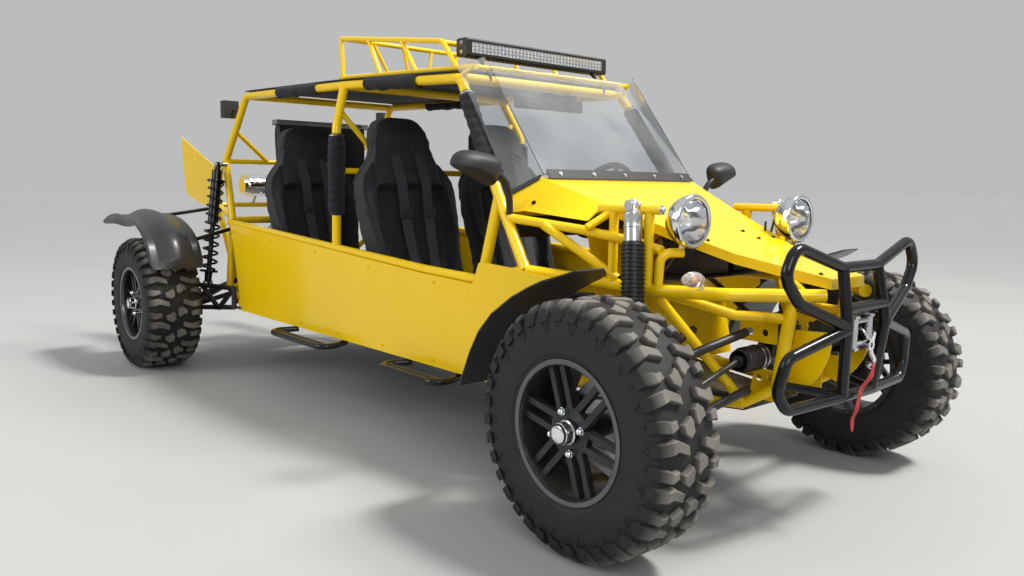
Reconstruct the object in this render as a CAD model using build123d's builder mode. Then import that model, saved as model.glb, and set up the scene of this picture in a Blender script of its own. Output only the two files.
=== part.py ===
from build123d import *
import os
from math import cos, radians, sin

os.makedirs("parts", exist_ok=True)

# Dune buggy with four seats. X runs forward, Y to the vehicle's left, Z up.
# The ground is at z = 0 and the origin lies under the middle of the vehicle.

# Driving dimensions, in millimetres
front_axle_x = 1750
wheelbase = 3105
rear_axle_x = front_axle_x - wheelbase
tyre_radius = 343
rim_radius = 190
front_track_half = 708
rear_track_half = 845
front_tyre_width = 230
rear_tyre_width = 280
body_half_width = 550
sheet = 3

# Tube radii
main_tube = 19
small_tube = 13
rack_tube = 10
arm_tube = 15
guard_tube = 16

sides = (("left", 1), ("right", -1))


def bar(start, end, radius):
    start, end = Vector(start), Vector(end)
    with BuildSketch(Plane(origin=start, z_dir=end - start)) as section:
        Circle(radius)
    extrude(section.sketch, amount=(end - start).length)


def bent_bar(points, bend, radius):
    with BuildLine() as path:
        FilletPolyline(*points, radius=bend)
    with BuildSketch(Plane(origin=path.line @ 0, z_dir=path.line % 0)) as section:
        Circle(radius)
    sweep(section.sketch, path=path.line)


def mirrored(points, side):
    return [(x, side * y, z) for x, y, z in points]


def upright(y):
    """A plane along the vehicle whose own axes are X and Z."""
    return Plane(origin=(0, y, 0), x_dir=(1, 0, 0), z_dir=(0, -1, 0))


def pane(corners, thickness):
    """A flat plate over the corners, thickened towards the front."""
    corners = [Vector(corner) for corner in corners]
    normal = (corners[1] - corners[0]).cross(corners[2] - corners[0])
    if normal.X < 0:
        normal = normal * -1
    plane = Plane(origin=corners[0], x_dir=corners[1] - corners[0], z_dir=normal)
    flat = [plane.to_local_coords(corner) for corner in corners]
    with BuildSketch(plane) as outline:
        with BuildLine():
            Polyline(*[(point.X, point.Y) for point in flat], close=True)
        make_face()
    extrude(outline.sketch, amount=thickness)


# Side frames

sill_z = 335
sill_y = 526
roof_y = 440
belt_y = 522
hoop_base = (-1130, 500, 780)
hoop_bend = (-1275, 470, 1095)
roof_rear = (-1050, roof_y, 1428)
roof_joint = (-20, roof_y, 1396)
roof_front = (790, 422, 1355)
pillar_foot = (1085, 484, 935)
post_base_front = (1266, belt_y, 706)
post_base_rear = (1044, belt_y, 652)
belt_rear = (-1110, belt_y, 768)
belt_middle = (715, belt_y, 662)
main_loop = [
    post_base_front, pillar_foot, roof_front, roof_joint, roof_rear, hoop_bend, hoop_base
]
b_pillar_points = [(42, belt_y, 700), (42, 515, 1210), roof_joint]
corner_front = (1660, 350, 668)
tower_rear = (1478, 350, 672)

for side_name, side in sides:
    with BuildPart() as side_frame:
        bent_bar(mirrored(main_loop, side), 60, main_tube)
        bent_bar(mirrored(b_pillar_points, side), 90, main_tube)
        belt = [belt_rear, belt_middle, post_base_rear, post_base_front]
        bent_bar(mirrored(belt, side), 40, main_tube)
        sill = [(-1130, sill_y, 420), (-930, sill_y, sill_z), (950, sill_y, sill_z)]
        bent_bar(mirrored(sill, side), 120, main_tube)
        for start, end in (
            (post_base_rear, pillar_foot),
            ((-1130, sill_y, 420), hoop_base),
            ((42, belt_y, 700), (42, sill_y, sill_z)),
            ((950, sill_y, sill_z), post_base_rear),
        ):
            bar(*mirrored([start, end], side), main_tube)
    side_frame.part.label = f"side_frame_{side_name}"
    export_step(side_frame.part, f"parts/side_frame_{side_name}.step")
    if side == 1:
        side_frame_left = side_frame
    else:
        side_frame_right = side_frame

# Cross tubes between the side frames: x, half length, z, radius
dash_tube_x = 1124.5
dash_tube_z = 885
cross_tube_table = (
    (790, 422, 1355, main_tube),
    (-20, roof_y, 1396, main_tube),
    (-1050, roof_y, 1428, main_tube),
    (-1275, 470, 1095, small_tube),
    (42, 520, 1030, small_tube),
    (-1130, 500, 780, main_tube),
    (-1130, sill_y, 420, main_tube),
    (-500, sill_y, sill_z, main_tube),
    (-180, sill_y, sill_z, main_tube),
    (110, sill_y, sill_z, main_tube),
    (370, sill_y, sill_z, main_tube),
    (700, sill_y, sill_z, main_tube),
    (950, sill_y, sill_z, main_tube),
    (dash_tube_x, 492, dash_tube_z, small_tube),
)
# Slanted braces from the hoops down to the shoulder bars
brace_table = (((17, 485, 1285), (42, 250, 1030)), ((-1195, 455, 1263), (-1275, 230, 1095)))

with BuildPart() as cross_tubes:
    for x, half_length, z, radius in cross_tube_table:
        reach = half_length - 8
        bar((x, -reach, z), (x, reach, z), radius)
    for side_name, side in sides:
        for start, end in brace_table:
            bar(*mirrored([start, end], side), small_tube - 1)
    add(side_frame_left.part, mode=Mode.SUBTRACT)
    add(side_frame_right.part, mode=Mode.SUBTRACT)
cross_tubes.part.label = "cross_tubes"
export_step(cross_tubes.part, "parts/cross_tubes.step")

# Nose frame

cowl_rear = (1150, 498, 868)
nose_tip = (2060, 112, 676)
plate_y = 130
tower_y = 356

for side_name, side in sides:
    with BuildPart() as nose_frame:
        cowl = [cowl_rear, (1400, 410, 838), (1560, 350, 808), (1664, 342, 786)]
        bent_bar(mirrored(cowl, side), 90, 15)
        top_rail = [post_base_front, tower_rear, corner_front, (1860, 300, 673), nose_tip]
        bent_bar(mirrored(top_rail, side), 60, main_tube)
        second_rail = [corner_front, (1840, 215, 604), (1900, plate_y + 30, 602)]
        bent_bar(mirrored(second_rail, side), 50, 15)
        low_rail = [(950, sill_y, sill_z), (1440, 290, 337), (1850, plate_y + 40, 340)]
        bent_bar(mirrored(low_rail, side), 150, main_tube)
        for start, end, radius in (
            ((1640, 335, 655), (1850, plate_y + 40, 340), 15),
            ((1285, 466, 850), (1500, 350, 690), 15),
            ((1985, plate_y + 20, 664), (1945, plate_y + 20, 400), main_tube),
            ((1945, plate_y + 20, 400), (1850, plate_y + 40, 340), 15),
            ((1485, tower_y, 672), (1485, tower_y, 895), 15),
            ((1626, tower_y, 672), (1626, tower_y, 895), 15),
            ((1430, tower_y, 905), (1672, tower_y, 905), 14),
            ((1470, tower_y, 893), (1440, 428, 846), 12),
            ((1900, plate_y + 30, 602), (1975, plate_y + 20, 602), 15),
        ):
            bar(*mirrored([start, end], side), radius)
        lamp_post = [corner_front, (1664, 346, 780), (1700, 287, 780)]
        bent_bar(mirrored(lamp_post, side), 35, 14)
        add((side_frame_left if side == 1 else side_frame_right).part, mode=Mode.SUBTRACT)
        add(cross_tubes.part, mode=Mode.SUBTRACT)
    nose_frame.part.label = f"nose_frame_{side_name}"
    export_step(nose_frame.part, f"parts/nose_frame_{side_name}.step")
    if side == 1:
        nose_frame_left = nose_frame
    else:
        nose_frame_right = nose_frame

# Panels

panel_outline = [
    (-930, 320), (1200, 320), (1262, 350), (1300, 460), (1365, 555), (1425, 605),
    (1425, 696), (1283, 706), (1235, 712), (1093, 719), (1060, 716), (1028, 643),
    (715, 654), (-1040, 764),
]
panel_inner = sill_y + main_tube + 2

for side_name, side in sides:
    with BuildPart() as side_panel:
        with BuildSketch(upright(side * panel_inner)):
            with BuildLine():
                Polyline(*panel_outline, close=True)
            make_face()
        extrude(amount=-side * sheet)
    side_panel.part.label = f"side_panel_{side_name}"
    export_step(side_panel.part, f"parts/side_panel_{side_name}.step")

floor_z = sill_z - main_tube - 2
with BuildPart() as floor_pan:
    with BuildSketch(Plane.XY.offset(floor_z)):
        with BuildLine():
            Polyline(
                (-1130, -520), (960, -520), (1440, -285), (1840, -150),
                (1840, 150), (1440, 285), (960, 520), (-1130, 520), close=True,
            )
        make_face()
    extrude(amount=-sheet)
floor_pan.part.label = "floor_pan"
export_step(floor_pan.part, "parts/floor_pan.step")

# Hood and cowl, sections across the vehicle: x, half width, top z, edge half width, edge z
cowl_sections = ((1195, 400, 1000, 472, 892), (1415, 318, 917, 404, 866))
hood_sections = (
    (1415, 318, 917, 320, 887), (1640, 237, 836, 239, 806),
    (1805, 172, 778, 174, 748), (2065, 90, 722, 92, 692),
)
hood_tip_x = hood_sections[-1][0]


with BuildPart() as hood:
    for sections in (cowl_sections, hood_sections):
        for inset, mode in ((0, Mode.ADD), (sheet, Mode.SUBTRACT)):
            faces = []
            for x, top_half, top_z, edge_half, edge_z in sections:
                if x == hood_tip_x:
                    x = x - inset
                with BuildSketch(Plane(origin=(x, 0, 0), x_dir=(0, 1, 0), z_dir=(1, 0, 0))) as cut:
                    with BuildLine():
                        Polyline(
                            (-edge_half + inset, edge_z - inset),
                            (-top_half + inset, top_z - inset),
                            (top_half - inset, top_z - inset),
                            (edge_half - inset, edge_z - inset),
                            close=True,
                        )
                    make_face()
                faces.append(cut.sketch)
            loft(faces, ruled=True, mode=mode)
hood.part.label = "hood"
export_step(hood.part, "parts/hood.step")

# Tyres: a round carcass, and lugs that fill the space up to a rounded outer envelope
pitch_count = 18
carcass_radius = 325
shoulder_radius = 296
bulge_radius = 240
lug_foot = 290
# Kind, width, place of the spoked face as a share of the width
tyre_kinds = (("front", front_tyre_width, 0.37), ("rear", rear_tyre_width, 0.345))
# Lug outlines on the tread, as shares of the width across and millimetres around
lug_outlines = (
    ((0.02, -26), (0.27, -10), (0.52, -20), (0.52, 16), (0.24, 24), (0.02, 4)),
    ((-0.02, 26), (-0.27, 10), (-0.52, 20), (-0.52, -16), (-0.24, -24), (-0.02, -4)),
)

tyres = {}
for kind, width, face_share in tyre_kinds:
    with BuildPart() as envelope:
        with BuildSketch(Plane.YZ):
            with BuildLine():
                Polyline(
                    (-0.5 * width, lug_foot), (-0.5 * width, 314), (-0.37 * width, tyre_radius),
                    (0.37 * width, tyre_radius), (0.5 * width, 314), (0.5 * width, lug_foot),
                    close=True,
                )
            make_face()
        revolve(axis=Axis.Y)
    with BuildPart() as lugs:
        for outline_number, outline in enumerate(lug_outlines):
            lug_plane = Plane(origin=(0, 0, 360), x_dir=(0, 1, 0), z_dir=(0, 0, 1))
            with BuildSketch(lug_plane) as lug:
                with BuildLine():
                    Polyline(*[(across * width, around) for across, around in outline], close=True)
                make_face()
            first = extrude(lug.sketch, amount=lug_foot - 360, mode=Mode.PRIVATE)
            for number in range(pitch_count):
                angle = 360 / pitch_count * (number + outline_number / 2)
                add(first.rotate(Axis.Y, angle))
        add(envelope.part, mode=Mode.INTERSECT)
    with BuildPart() as tyre:
        with BuildSketch(Plane.YZ):
            with BuildLine():
                Polyline(
                    (-0.40 * width, rim_radius - 8), (0.40 * width, rim_radius - 8),
                    (0.48 * width, bulge_radius), (0.465 * width, shoulder_radius),
                    (0.35 * width, carcass_radius), (-0.35 * width, carcass_radius),
                    (-0.465 * width, shoulder_radius), (-0.48 * width, bulge_radius), close=True,
                )
            make_face()
        revolve(axis=Axis.Y)
        add(lugs.part)
    tyres[kind] = tyre.part

# Wheels: rim, six pairs of spokes, hub with four nuts and a chrome cap, brake disc behind
spoke_pairs = 6
spoke_spacing = 42
spoke_start = 48
nut_start = 16
nut_circle = 55
wheels = {}
for kind, width, face_share in tyre_kinds:
    lip = 0.415 * width
    face = face_share * width
    front_view = Plane(origin=(0, 0, 0), x_dir=(1, 0, 0), z_dir=(0, 1, 0))
    with BuildPart() as wheel:
        with BuildSketch(Plane.YZ):
            with BuildLine():
                Polyline(
                    (-lip - 8, rim_radius), (-lip - 8, 172), (lip - 12, 172), (lip + 8, 176),
                    (lip + 8, rim_radius), (lip, rim_radius), (lip, 180), (-lip, 180),
                    (-lip, rim_radius), close=True,
                )
            make_face()
        revolve(axis=Axis.Y)
        with BuildSketch(front_view.offset(face - 20)):
            with PolarLocations(0, spoke_pairs, start_angle=spoke_start):
                for across in (-spoke_spacing / 2, spoke_spacing / 2):
                    with Locations((112, across)):
                        Rectangle(128, 17)
            Circle(66)
        extrude(amount=20)
        with BuildSketch(front_view.offset(-60)):
            Circle(34)
        extrude(amount=60 + face - 20)
        with BuildSketch(front_view.offset(face)):
            Circle(32)
        extrude(amount=10)
        with BuildSketch(front_view.offset(face + 10)):
            Circle(28)
        extrude(amount=32)
        with BuildSketch(front_view.offset(face)):
            with PolarLocations(nut_circle, 4, start_angle=nut_start):
                RegularPolygon(10, 6)
        extrude(amount=16)
        with BuildSketch(front_view.offset(-50)):
            Circle(118)
        extrude(amount=7)
    wheels[kind] = wheel.part

# Wheel places: name, kind, x, half track, side. The spoked face looks outwards
wheel_table = (
    ("front_left", "front", front_axle_x, front_track_half, 1),
    ("front_right", "front", front_axle_x, front_track_half, -1),
    ("rear_left", "rear", rear_axle_x, rear_track_half, 1),
    ("rear_right", "rear", rear_axle_x, rear_track_half, -1),
)
for wheel_name, kind, x, half_track, side in wheel_table:
    centre = Vector(x, side * half_track, tyre_radius)
    place = Location(centre) if side == 1 else Location(centre, (0, 0, 180))
    for piece_name, shape in (("tyre", tyres[kind]), ("wheel", wheels[kind])):
        with BuildPart() as piece:
            add(place * shape)
        piece.part.label = f"{piece_name}_{wheel_name}"
        export_step(piece.part, f"parts/{piece_name}_{wheel_name}.step")

# Windshield: a flat middle and a swept-back wing on each side
glass = 4
shield_low = (1196, 388, 1008)
shield_high = (852, 343, 1400)
wing_low = (1126, 462, 950)
wing_high = (806, 452, 1388)
with BuildPart() as windshield:
    for corners in (
        (shield_low, shield_high, (shield_high[0], -shield_high[1], shield_high[2]),
         (shield_low[0], -shield_low[1], shield_low[2])),
        (shield_low, wing_low, wing_high, shield_high),
        tuple(mirrored((shield_low, wing_low, wing_high, shield_high), -1)),
    ):
        pane(corners, glass)
windshield.part.label = "windshield"
export_step(windshield.part, "parts/windshield.step")

# Roof rack: a deck of cross tubes, a raised rail on posts, clamped to the roof tubes
rack_half = 400
rack_posts = (((-112, 1608), (-100, 1438)), ((114, 1577), (210, 1422)), ((366, 1542), (470, 1409)))
rack_clamps = (((-90, 1434), (-90, 1402)), ((836, 1389), (804, 1366)))
rack_cross = (
    (-112, 1608), (640, 1501), (-100, 1438), (90, 1429), (280, 1419), (470, 1410), (660, 1400),
    (840, 1391),
)
with BuildPart() as roof_rack:
    for side_name, side in sides:
        rail = [(850, rack_half, 1391), (-20, rack_half, 1435), (-120, rack_half, 1439)]
        bent_bar(mirrored(rail, side), 200, rack_tube)
        top = [(737, rack_half, 1397), (644, rack_half, 1505), (-112, rack_half, 1608)]
        bent_bar(mirrored(top, side), 60, rack_tube)
        for (top_x, top_z), (foot_x, foot_z) in rack_posts:
            bar(*mirrored([(top_x, rack_half, top_z), (foot_x, rack_half, foot_z)], side), rack_tube)
        for (clamp_x, clamp_z), (tube_x, tube_z) in rack_clamps:
            bar(*mirrored([(clamp_x, rack_half + 4, clamp_z), (tube_x, 428, tube_z)], side), 7)
    for x, z in rack_cross:
        bar((x, -rack_half, z), (x, rack_half, z), rack_tube)
    for y in (-240, -80, 80, 240):
        bar((-112, y, 1608), (-100, y * 0.6, 1438), rack_tube - 2)
    add(side_frame_left.part, mode=Mode.SUBTRACT)
    add(side_frame_right.part, mode=Mode.SUBTRACT)
    add(cross_tubes.part, mode=Mode.SUBTRACT)
roof_rack.part.label = "roof_rack"
export_step(roof_rack.part, "parts/roof_rack.step")

# Soft top: a sheet over the roof tubes that wraps down over the side rails, with a rolled hem
canopy_rise = main_tube + 3
canopy_thickness = 5
canopy_half = 467
hem_half = 395
roof_profile = [(770, 1356), (-20, 1396), (-1000, 1426)]
with BuildPart() as canopy:
    with BuildSketch(upright(canopy_half)):
        with BuildLine():
            Polyline(
                *[(x, z + canopy_rise) for x, z in roof_profile],
                *[(x, z + canopy_rise + canopy_thickness) for x, z in reversed(roof_profile)],
                close=True,
            )
        make_face()
    extrude(amount=2 * canopy_half)
    for side_name, side in sides:
        with BuildSketch(upright(side * canopy_half)):
            with BuildLine():
                Polyline(
                    (740, 1357 + canopy_rise), (-20, 1396 + canopy_rise),
                    (-960, 1425 + canopy_rise), (-960, 1385), (-75, 1352), (-65, 1396), (50, 1391),
                    (60, 1350), (700, 1325), close=True,
                )
            make_face()
        extrude(amount=-side * canopy_thickness)
    with BuildSketch(Plane.XZ.offset(-hem_half)):
        with Locations((774, 1380)):
            Circle(9)
    extrude(amount=2 * hem_half)
    add(roof_rack.part, mode=Mode.SUBTRACT)
canopy.part.label = "canopy"
export_step(canopy.part, "parts/canopy.step")

# Light bar: finned housing with lens, on two brackets
bar_half = 369
bar_depth = 62
bar_height = 66
bar_x = 752
bar_z = 1477
fin_pitch = 22
fin_gaps = 32
with BuildPart() as light_bar:
    with BuildSketch(Plane.XZ.offset(-bar_half)):
        with Locations((bar_x - bar_depth / 2, bar_z)):
            RectangleRounded(bar_depth, bar_height, 8)
    extrude(amount=2 * bar_half)
    with Locations((bar_x + 2, 0, bar_z)):
        Box(16, 2 * bar_half - 44, bar_height - 22, mode=Mode.SUBTRACT)
    with BuildSketch(Plane.YZ.offset(bar_x - bar_depth)):
        with Locations((0, bar_z)):
            with GridLocations(fin_pitch, 1, fin_gaps, 1):
                Rectangle(fin_pitch - 8, bar_height)
    extrude(amount=22, mode=Mode.SUBTRACT)
    for y in (-300, 300):
        with BuildSketch(Plane.XZ.offset(-y - 3)):
            with BuildLine():
                Polyline(
                    (716, 1450), (740, 1450), (812, 1374), (812, 1352), (786, 1356), (786, 1392),
                    close=True,
                )
            make_face()
        extrude(amount=6)
    add(cross_tubes.part, mode=Mode.SUBTRACT)
light_bar.part.label = "light_bar"
export_step(light_bar.part, "parts/light_bar.step")
with BuildPart() as light_bar_lens:
    with Locations((bar_x - 2, 0, bar_z)):
        Box(6, 2 * bar_half - 48, bar_height - 26)
light_bar_lens.part.label = "light_bar_lens"
export_step(light_bar_lens.part, "parts/light_bar_lens.step")

# Bucket seats: side outline, front outline with shoulder wings and domed head, then the hollow
seat_y = 272
seat_floor = sill_z + main_tube
seat_outline = [
    (0, seat_floor), (500, seat_floor), (515, 470), (440, 500), (120, 480), (-40, 980),
    (-75, 1090), (-125, 1280), (-205, 1265), (-150, 1050), (-120, 900), (-40, 450),
]
half_widths = [
    (205, seat_floor), (224, 480), (224, 620), (196, 760), (222, 930), (222, 1075), (150, 1150),
    (132, 1215), (96, 1265), (52, 1281),
]
hollow_outline = [
    (560, 470), (300, 440), (60, 440), (-85, 900), (-90, 960), (40, 1000), (560, 600),
]
seat_table = (
    ("seat_front_left", 280, 1), ("seat_front_right", 280, -1),
    ("seat_rear_left", -590, 1), ("seat_rear_right", -590, -1),
)
for seat_name, seat_x, side in seat_table:
    with BuildPart() as seat:
        seat_plane = Plane(
            origin=(seat_x, side * seat_y - 230, 0), x_dir=(1, 0, 0), z_dir=(0, -1, 0)
        )
        with BuildSketch(seat_plane):
            with BuildLine():
                Polyline(*seat_outline, close=True)
            make_face()
        extrude(amount=-460)
        with BuildSketch(Plane.YZ.offset(seat_x - 260)):
            with BuildLine():
                Polyline(
                    *[(side * seat_y + half, z) for half, z in half_widths],
                    *[(side * seat_y - half, z) for half, z in reversed(half_widths)], close=True,
                )
            make_face()
        extrude(amount=800, mode=Mode.INTERSECT)
        with BuildSketch(seat_plane.offset(-80)):
            with BuildLine():
                Polyline(*hollow_outline, close=True)
            make_face()
        extrude(amount=-300, mode=Mode.SUBTRACT)
    seat.part.label = seat_name
    export_step(seat.part, f"parts/{seat_name}.step")

# Dashboard, bolted to its tube
with BuildPart() as dashboard:
    with BuildSketch(upright(430)):
        with BuildLine():
            Polyline((1176, 973), (1130, 960), (1100, 930), (1107, 800), (1110, 800),
                     (1104, 928), (1132, 956), (1176, 969), close=True)
        make_face()
    extrude(amount=860)
    for y in (-400, -150, 150, 400):
        bar((1102, y, dash_tube_z), (dash_tube_x, y, dash_tube_z), 7)
    add(cross_tubes.part, mode=Mode.SUBTRACT)
dashboard.part.label = "dashboard"
export_step(dashboard.part, "parts/dashboard.step")

# Steering wheel
steer_centre = Vector(841, seat_y, 915)
steer_axis = Vector(cos(radians(25)), 0, -sin(radians(25)))
steer_plane = Plane(origin=steer_centre, x_dir=(0, 1, 0), z_dir=steer_axis * -1)
steer_radius = 160
with BuildPart() as steering_wheel:
    with BuildSketch(Plane(origin=steer_centre, x_dir=(0, 1, 0), z_dir=steer_plane.y_dir * -1)):
        with Locations((steer_radius, 0)):
            Circle(13)
    revolve(axis=Axis(steer_centre, steer_axis))
    with BuildSketch(steer_plane.offset(-14)) as spokes:
        Circle(38)
        with PolarLocations(0, 3, start_angle=-90):
            with Locations((80, 0)):
                Rectangle(150, 26)
    extrude(amount=6)
    with BuildSketch(steer_plane.offset(-50)):
        Circle(30)
    extrude(amount=40)
steering_wheel.part.label = "steering_wheel"
export_step(steering_wheel.part, "parts/steering_wheel.step")
# Mirrors: pointed oval heads on stalks from the pillars
with BuildPart() as mirrors:
    for side_name, side in sides:
        stalk = [(1152, 499, 856), (1165, 560, 990), (1163, 604, 1020)]
        bent_bar(mirrored(stalk, side), 12, 9)
        head_plane = Plane(
            origin=(1150, side * 612, 1037), x_dir=(0, 1, 0), z_dir=(-1, 0, 0)
        )
        with BuildSketch(head_plane):
            Ellipse(78, 54)
        with BuildSketch(head_plane.offset(-30)):
            Ellipse(70, 46)
        with BuildSketch(head_plane.offset(-58)):
            Ellipse(36, 24)
        loft()
    for frame in (side_frame_left, side_frame_right, nose_frame_left, nose_frame_right):
        add(frame.part, mode=Mode.SUBTRACT)
mirrors.part.label = "mirrors"
export_step(mirrors.part, "parts/mirrors.step")

# Headlamps: chrome bowls with lenses
lamp_x = 1733
lamp_y = 287
lamp_z = 873
lamp_radius = 72
with BuildPart() as headlamp_bowls:
    for side_name, side in sides:
        centre = Vector(lamp_x, side * lamp_y, lamp_z)
        with BuildSketch(Plane(origin=centre, x_dir=(1, 0, 0), z_dir=(0, -1, 0))):
            with BuildLine():
                outer = Polyline((0, lamp_radius - 6), (0, lamp_radius + 6), (-14, lamp_radius + 6))
                bowl = ThreePointArc(outer @ 1, (-62, 52), (-95, 0))
                Line(bowl @ 1, (-92, 0))
                inner = ThreePointArc((-92, 0), (-60, 48), (-14, lamp_radius - 6))
                Line(inner @ 1, outer @ 0)
            make_face()
        revolve(axis=Axis(centre, (1, 0, 0)))
        bar((lamp_x - 40, side * lamp_y, lamp_z - 60), (lamp_x - 40, side * lamp_y, lamp_z - 93), 9)
        add((nose_frame_left if side == 1 else nose_frame_right).part, mode=Mode.SUBTRACT)
headlamp_bowls.part.label = "headlamp_bowls"
export_step(headlamp_bowls.part, "parts/headlamp_bowls.step")
with BuildPart() as headlamp_lenses:
    for side_name, side in sides:
        bar((lamp_x - 12, side * lamp_y, lamp_z), (lamp_x - 4, side * lamp_y, lamp_z), lamp_radius - 6.5)
headlamp_lenses.part.label = "headlamp_lenses"
export_step(headlamp_lenses.part, "parts/headlamp_lenses.step")

# Turn signals: long clear ovals on short stalks
with BuildPart() as turn_signals:
    for side_name, side in sides:
        with BuildSketch(Plane(origin=(1800, side * 330, 712), x_dir=(1, 0, 0), z_dir=(0, side, 0))):
            Circle(14)
        with BuildSketch(Plane(origin=(1800, side * 362, 714), x_dir=(1, 0, 0), z_dir=(0, side, 0))):
            Circle(23)
        with BuildSketch(Plane(origin=(1800, side * 408, 716), x_dir=(1, 0, 0), z_dir=(0, side, 0))):
            Circle(10)
        loft()
        bar((1800, side * 318, 672), (1800, side * 338, 712), 8)
    add(nose_frame_left.part, mode=Mode.SUBTRACT)
    add(nose_frame_right.part, mode=Mode.SUBTRACT)
turn_signals.part.label = "turn_signals"
export_step(turn_signals.part, "parts/turn_signals.step")

# Front fenders: a curved sheet round the tyre with rounded corners, screwed to the side panel
fender_sheet = 4
front_fender_line = [
    (1287, 379), (1337, 487), (1378, 553), (1436, 612), (1523, 669), (1596, 704), (1679, 738),
    (1712, 753),
]
flange_width = 24
with BuildPart() as front_fenders:
    for side_name, side in sides:
        with BuildSketch(upright(side * body_half_width)):
            with BuildLine():
                Polyline(*front_fender_line)
            trace(line_width=fender_sheet)
        extrude(amount=-side * (800 - body_half_width))
    with BuildSketch(Plane.XY.offset(300)):
        with BuildLine():
            Polyline(
                (1240, -800), (1640, -800), (1714, -740), (1714, -640), (1660, -570), (1560, -520),
                (1560, 520), (1660, 570), (1714, 640), (1714, 740), (1640, 800), (1240, 800),
                close=True,
            )
        make_face()
    extrude(amount=500, mode=Mode.INTERSECT)
    for side_name, side in sides:
        with BuildSketch(upright(side * body_half_width)):
            with BuildLine():
                Polyline(
                    *front_fender_line[:5],
                    *[(x - flange_width, z + flange_width / 2) for x, z in front_fender_line[4::-1]],
                    close=True,
                )
            make_face()
        extrude(amount=-side * sheet)
front_fenders.part.label = "front_fenders"
export_step(front_fenders.part, "parts/front_fenders.step")

# Brush guard: two uprights, four loops and the cross tubes between them
with BuildPart() as brush_guard:
    for side_name, side in sides:
        post = [(2098, 98, 757), (2126, 108, 595), (2108, 84, 395)]
        bent_bar(mirrored(post, side), 200, guard_tube)
        upper = [(2098, 98, 757), (2085, 320, 822), (2083, 365, 745), (2090, 300, 672), (2126, 108, 595)]
        bent_bar(mirrored(upper, side), 45, guard_tube)
        lower = [(2126, 108, 590), (2085, 335, 530), (2073, 358, 440), (2080, 320, 388), (2108, 84, 395)]
        bent_bar(mirrored(lower, side), 40, guard_tube)
        bar((2120, side * 107, 600), (2000, side * 150, 640), 12)
        bar((2105, side * 86, 400), (1950, side * 150, 410), 12)
    bar((2098, -98, 757), (2098, 98, 757), guard_tube)
    bar((2119, -104, 645), (2119, 104, 645), guard_tube)
    bar((2108, -84, 395), (2108, 84, 395), guard_tube)
    add(nose_frame_left.part, mode=Mode.SUBTRACT)
    add(nose_frame_right.part, mode=Mode.SUBTRACT)
brush_guard.part.label = "brush_guard"
export_step(brush_guard.part, "parts/brush_guard.step")

# Padding sleeves round the windshield pillars and the middle pillars
sleeve_inner = main_tube + 0.5
sleeve_outer = main_tube + 10
with BuildPart() as pillar_sleeves:
    for side_name, side in sides:
        for foot, head, low, high in (
            (pillar_foot, roof_front, 0.10, 0.86),
            (b_pillar_points[0], b_pillar_points[1], 0.28, 0.95),
        ):
            foot, head = (Vector(*point) for point in mirrored([foot, head], side))
            run = head - foot
            with BuildSketch(Plane(origin=foot + run * low, z_dir=run)) as ring:
                Circle(sleeve_outer)
                Circle(sleeve_inner, mode=Mode.SUBTRACT)
            extrude(ring.sketch, amount=run.length * (high - low))
    add(cross_tubes.part, mode=Mode.SUBTRACT)
pillar_sleeves.part.label = "pillar_sleeves"
export_step(pillar_sleeves.part, "parts/pillar_sleeves.step")

# Front suspension
kingpin_y = 595
upper_ball_z = 443
lower_ball_z = 245
coil_top = (1589, 388, 918)
coil_foot = (1680, 470, 319)

with BuildPart() as front_arms:
    for side_name, side in sides:
        upper_ball = (front_axle_x, kingpin_y, upper_ball_z)
        lower_ball = (front_axle_x, kingpin_y, lower_ball_z)
        for ball, pivots in (
            (upper_ball, ((1850, 172, 552), (1700, 225, 545))),
            (lower_ball, ((1870, 178, 385), (1600, 320, 358))),
        ):
            for pivot in pivots:
                bar(*mirrored([ball, pivot], side), arm_tube - 2)
            bar(
                (ball[0], side * ball[1], ball[2] - 12), (ball[0], side * ball[1], ball[2] + 12), 22
            )
        bar(*mirrored([(1840, 240, 372), (1655, 240, 368)], side), 10)
    add(nose_frame_left.part, mode=Mode.SUBTRACT)
    add(nose_frame_right.part, mode=Mode.SUBTRACT)
front_arms.part.label = "front_arms"
export_step(front_arms.part, "parts/front_arms.step")

# Front knuckles with steering arm and brake caliper
disc_y = front_track_half - 50
for side_name, side in sides:
    with BuildPart() as knuckle:
        bar(
            (front_axle_x, kingpin_y, lower_ball_z + 30),
            (front_axle_x, kingpin_y, upper_ball_z - 20), 20,
        )
        bar((front_axle_x, kingpin_y, tyre_radius), (front_axle_x, 646, tyre_radius), 38)
        bar((front_axle_x, kingpin_y, 395), (front_axle_x + 105, (kingpin_y - 5), 395), 9)
        bar(
            (front_axle_x + 105, (kingpin_y - 5), 386),
            (front_axle_x + 105, (kingpin_y - 5), 404), 14,
        )
        with Locations((front_axle_x - 60, disc_y - 24, 365)):
            Box(110, 14, 50)
        for length, width, x, y in ((50, 14, -105, disc_y - 11), (50, 14, -105, disc_y + 18),
                                    (22, 43, -139, disc_y + 3.5)):
            with Locations((front_axle_x + x, y, 365)):
                Box(length, width, 80)
        if side == -1:
            mirror(about=Plane.XZ, mode=Mode.REPLACE)
    knuckle.part.label = f"knuckle_{side_name}"
    export_step(knuckle.part, f"parts/knuckle_{side_name}.step")

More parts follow.
